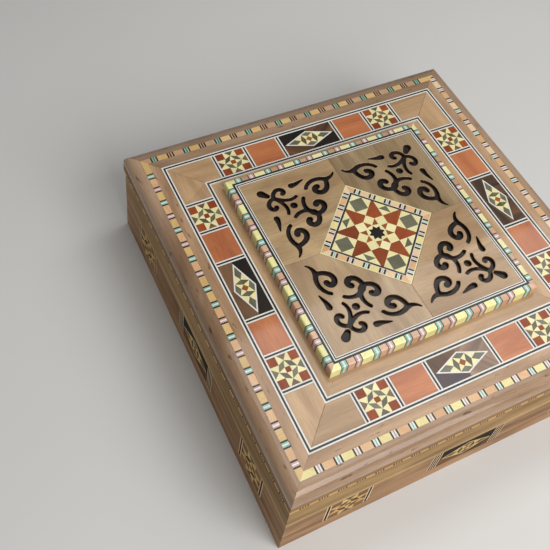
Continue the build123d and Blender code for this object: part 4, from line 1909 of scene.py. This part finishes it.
@dataclass(frozen=True)
class Softbox:
    """A rectangular light.

    Attributes:
        name: Name of the light.
        place: Where it hangs.
        size: Its width and its height.
        power: Its power in watts.
        aim: The place that it faces, or None where it hangs level and faces the floor.
    """

    name: str
    place: tuple[float, float, float]
    size: Point
    power: float
    aim: tuple[float, float, float] | None = None

    def hang(self) -> None:
        """Adds the light to the scene."""
        light = bpy.data.lights.new(self.name, "AREA")
        light.shape = "RECTANGLE"
        light.size, light.size_y = self.size
        light.energy = self.power
        lamp = bpy.data.objects.new(self.name, light)
        lamp.location = self.place
        if self.aim:
            way = Vector(self.aim) - Vector(self.place)
            lamp.rotation_euler = way.to_track_quat("-Z", "Y").to_euler()
        bpy.context.scene.collection.objects.link(lamp)


@dataclass
class Studio:
    """Floor, soft lights and the camera.

    Attributes:
        woods: Where the finishes come from.
        floor_half: Half the side of the floor.
        sky: Strength of the white sky.
        key: The large soft light over the front.
        sheen: The light over the back right, whose glare lies on the lacquer.
        camera_place: Place of the camera.
        camera_turn: Its rotation in degrees.
        lens: Its focal length in millimetres.
        sensor: Width of its picture in millimetres.
        near: Distance from which it sees.
        shift: Its shift, sideways and up.
    """

    woods: Woodyard
    floor_half: float = 3.0
    sky: float = 0.25
    key: Softbox = Softbox("key_light", (0.12, -0.8, 0.88), (0.8, 0.8), 11.8, aim=(0.0, 0.0, 0.06))
    sheen: Softbox = Softbox("sheen_light", (0.54, 0.26, 1.1), (0.95, 0.37), 3.5)
    camera_place: tuple[float, float, float] = (-0.29212, -0.29109, 0.63215)
    camera_turn: tuple[float, float, float] = (40.5502, -5.4131, -25.982)
    lens: float = 57.76
    sensor: float = 36.0
    near: float = 0.01
    shift: Point = (0.01105, -0.2133)

    def build(self) -> None:
        """Sets the stage."""
        self.floor()
        self.lights()
        self.camera()
        bpy.context.scene.view_settings.view_transform = "Standard"

    def floor(self) -> None:
        """Lays the floor."""
        mesh = bmesh.new()
        bmesh.ops.create_grid(mesh, x_segments=8, y_segments=8, size=self.floor_half)
        new_piece("studio_floor", mesh, [self.woods.of(FLOOR)])

    def lights(self) -> None:
        """Hangs the two lights under a white sky."""
        world = bpy.data.worlds.new("studio")
        bpy.context.scene.world = world
        world.use_nodes = True
        background = world.node_tree.nodes["Background"]
        background.inputs["Color"].default_value = (1.0, 1.0, 1.0, 1.0)
        background.inputs["Strength"].default_value = self.sky
        self.key.hang()
        self.sheen.hang()

    def camera(self) -> None:
        """Places the camera."""
        data = bpy.data.cameras.new("camera")
        data.lens = self.lens
        data.sensor_width = self.sensor
        data.shift_x, data.shift_y = self.shift
        data.clip_start = self.near
        camera = bpy.data.objects.new("camera", data)
        camera.location = self.camera_place
        camera.rotation_euler = Euler([math.radians(angle) for angle in self.camera_turn], "XYZ")
        bpy.context.scene.collection.objects.link(camera)
        bpy.context.scene.camera = camera


def main() -> None:
    """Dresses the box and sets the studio."""
    logging.basicConfig(level=logging.INFO, format="%(message)s")
    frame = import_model()
    LOG.info("%d nodes", len(frame["nodes"]))
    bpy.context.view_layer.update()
    woods = Woodyard()
    Lid(woods).build()
    Box(woods).build()
    Lining(woods).build()
    Hinges(woods).build()
    Studio(woods).build()


if __name__ == "__main__":
    main()
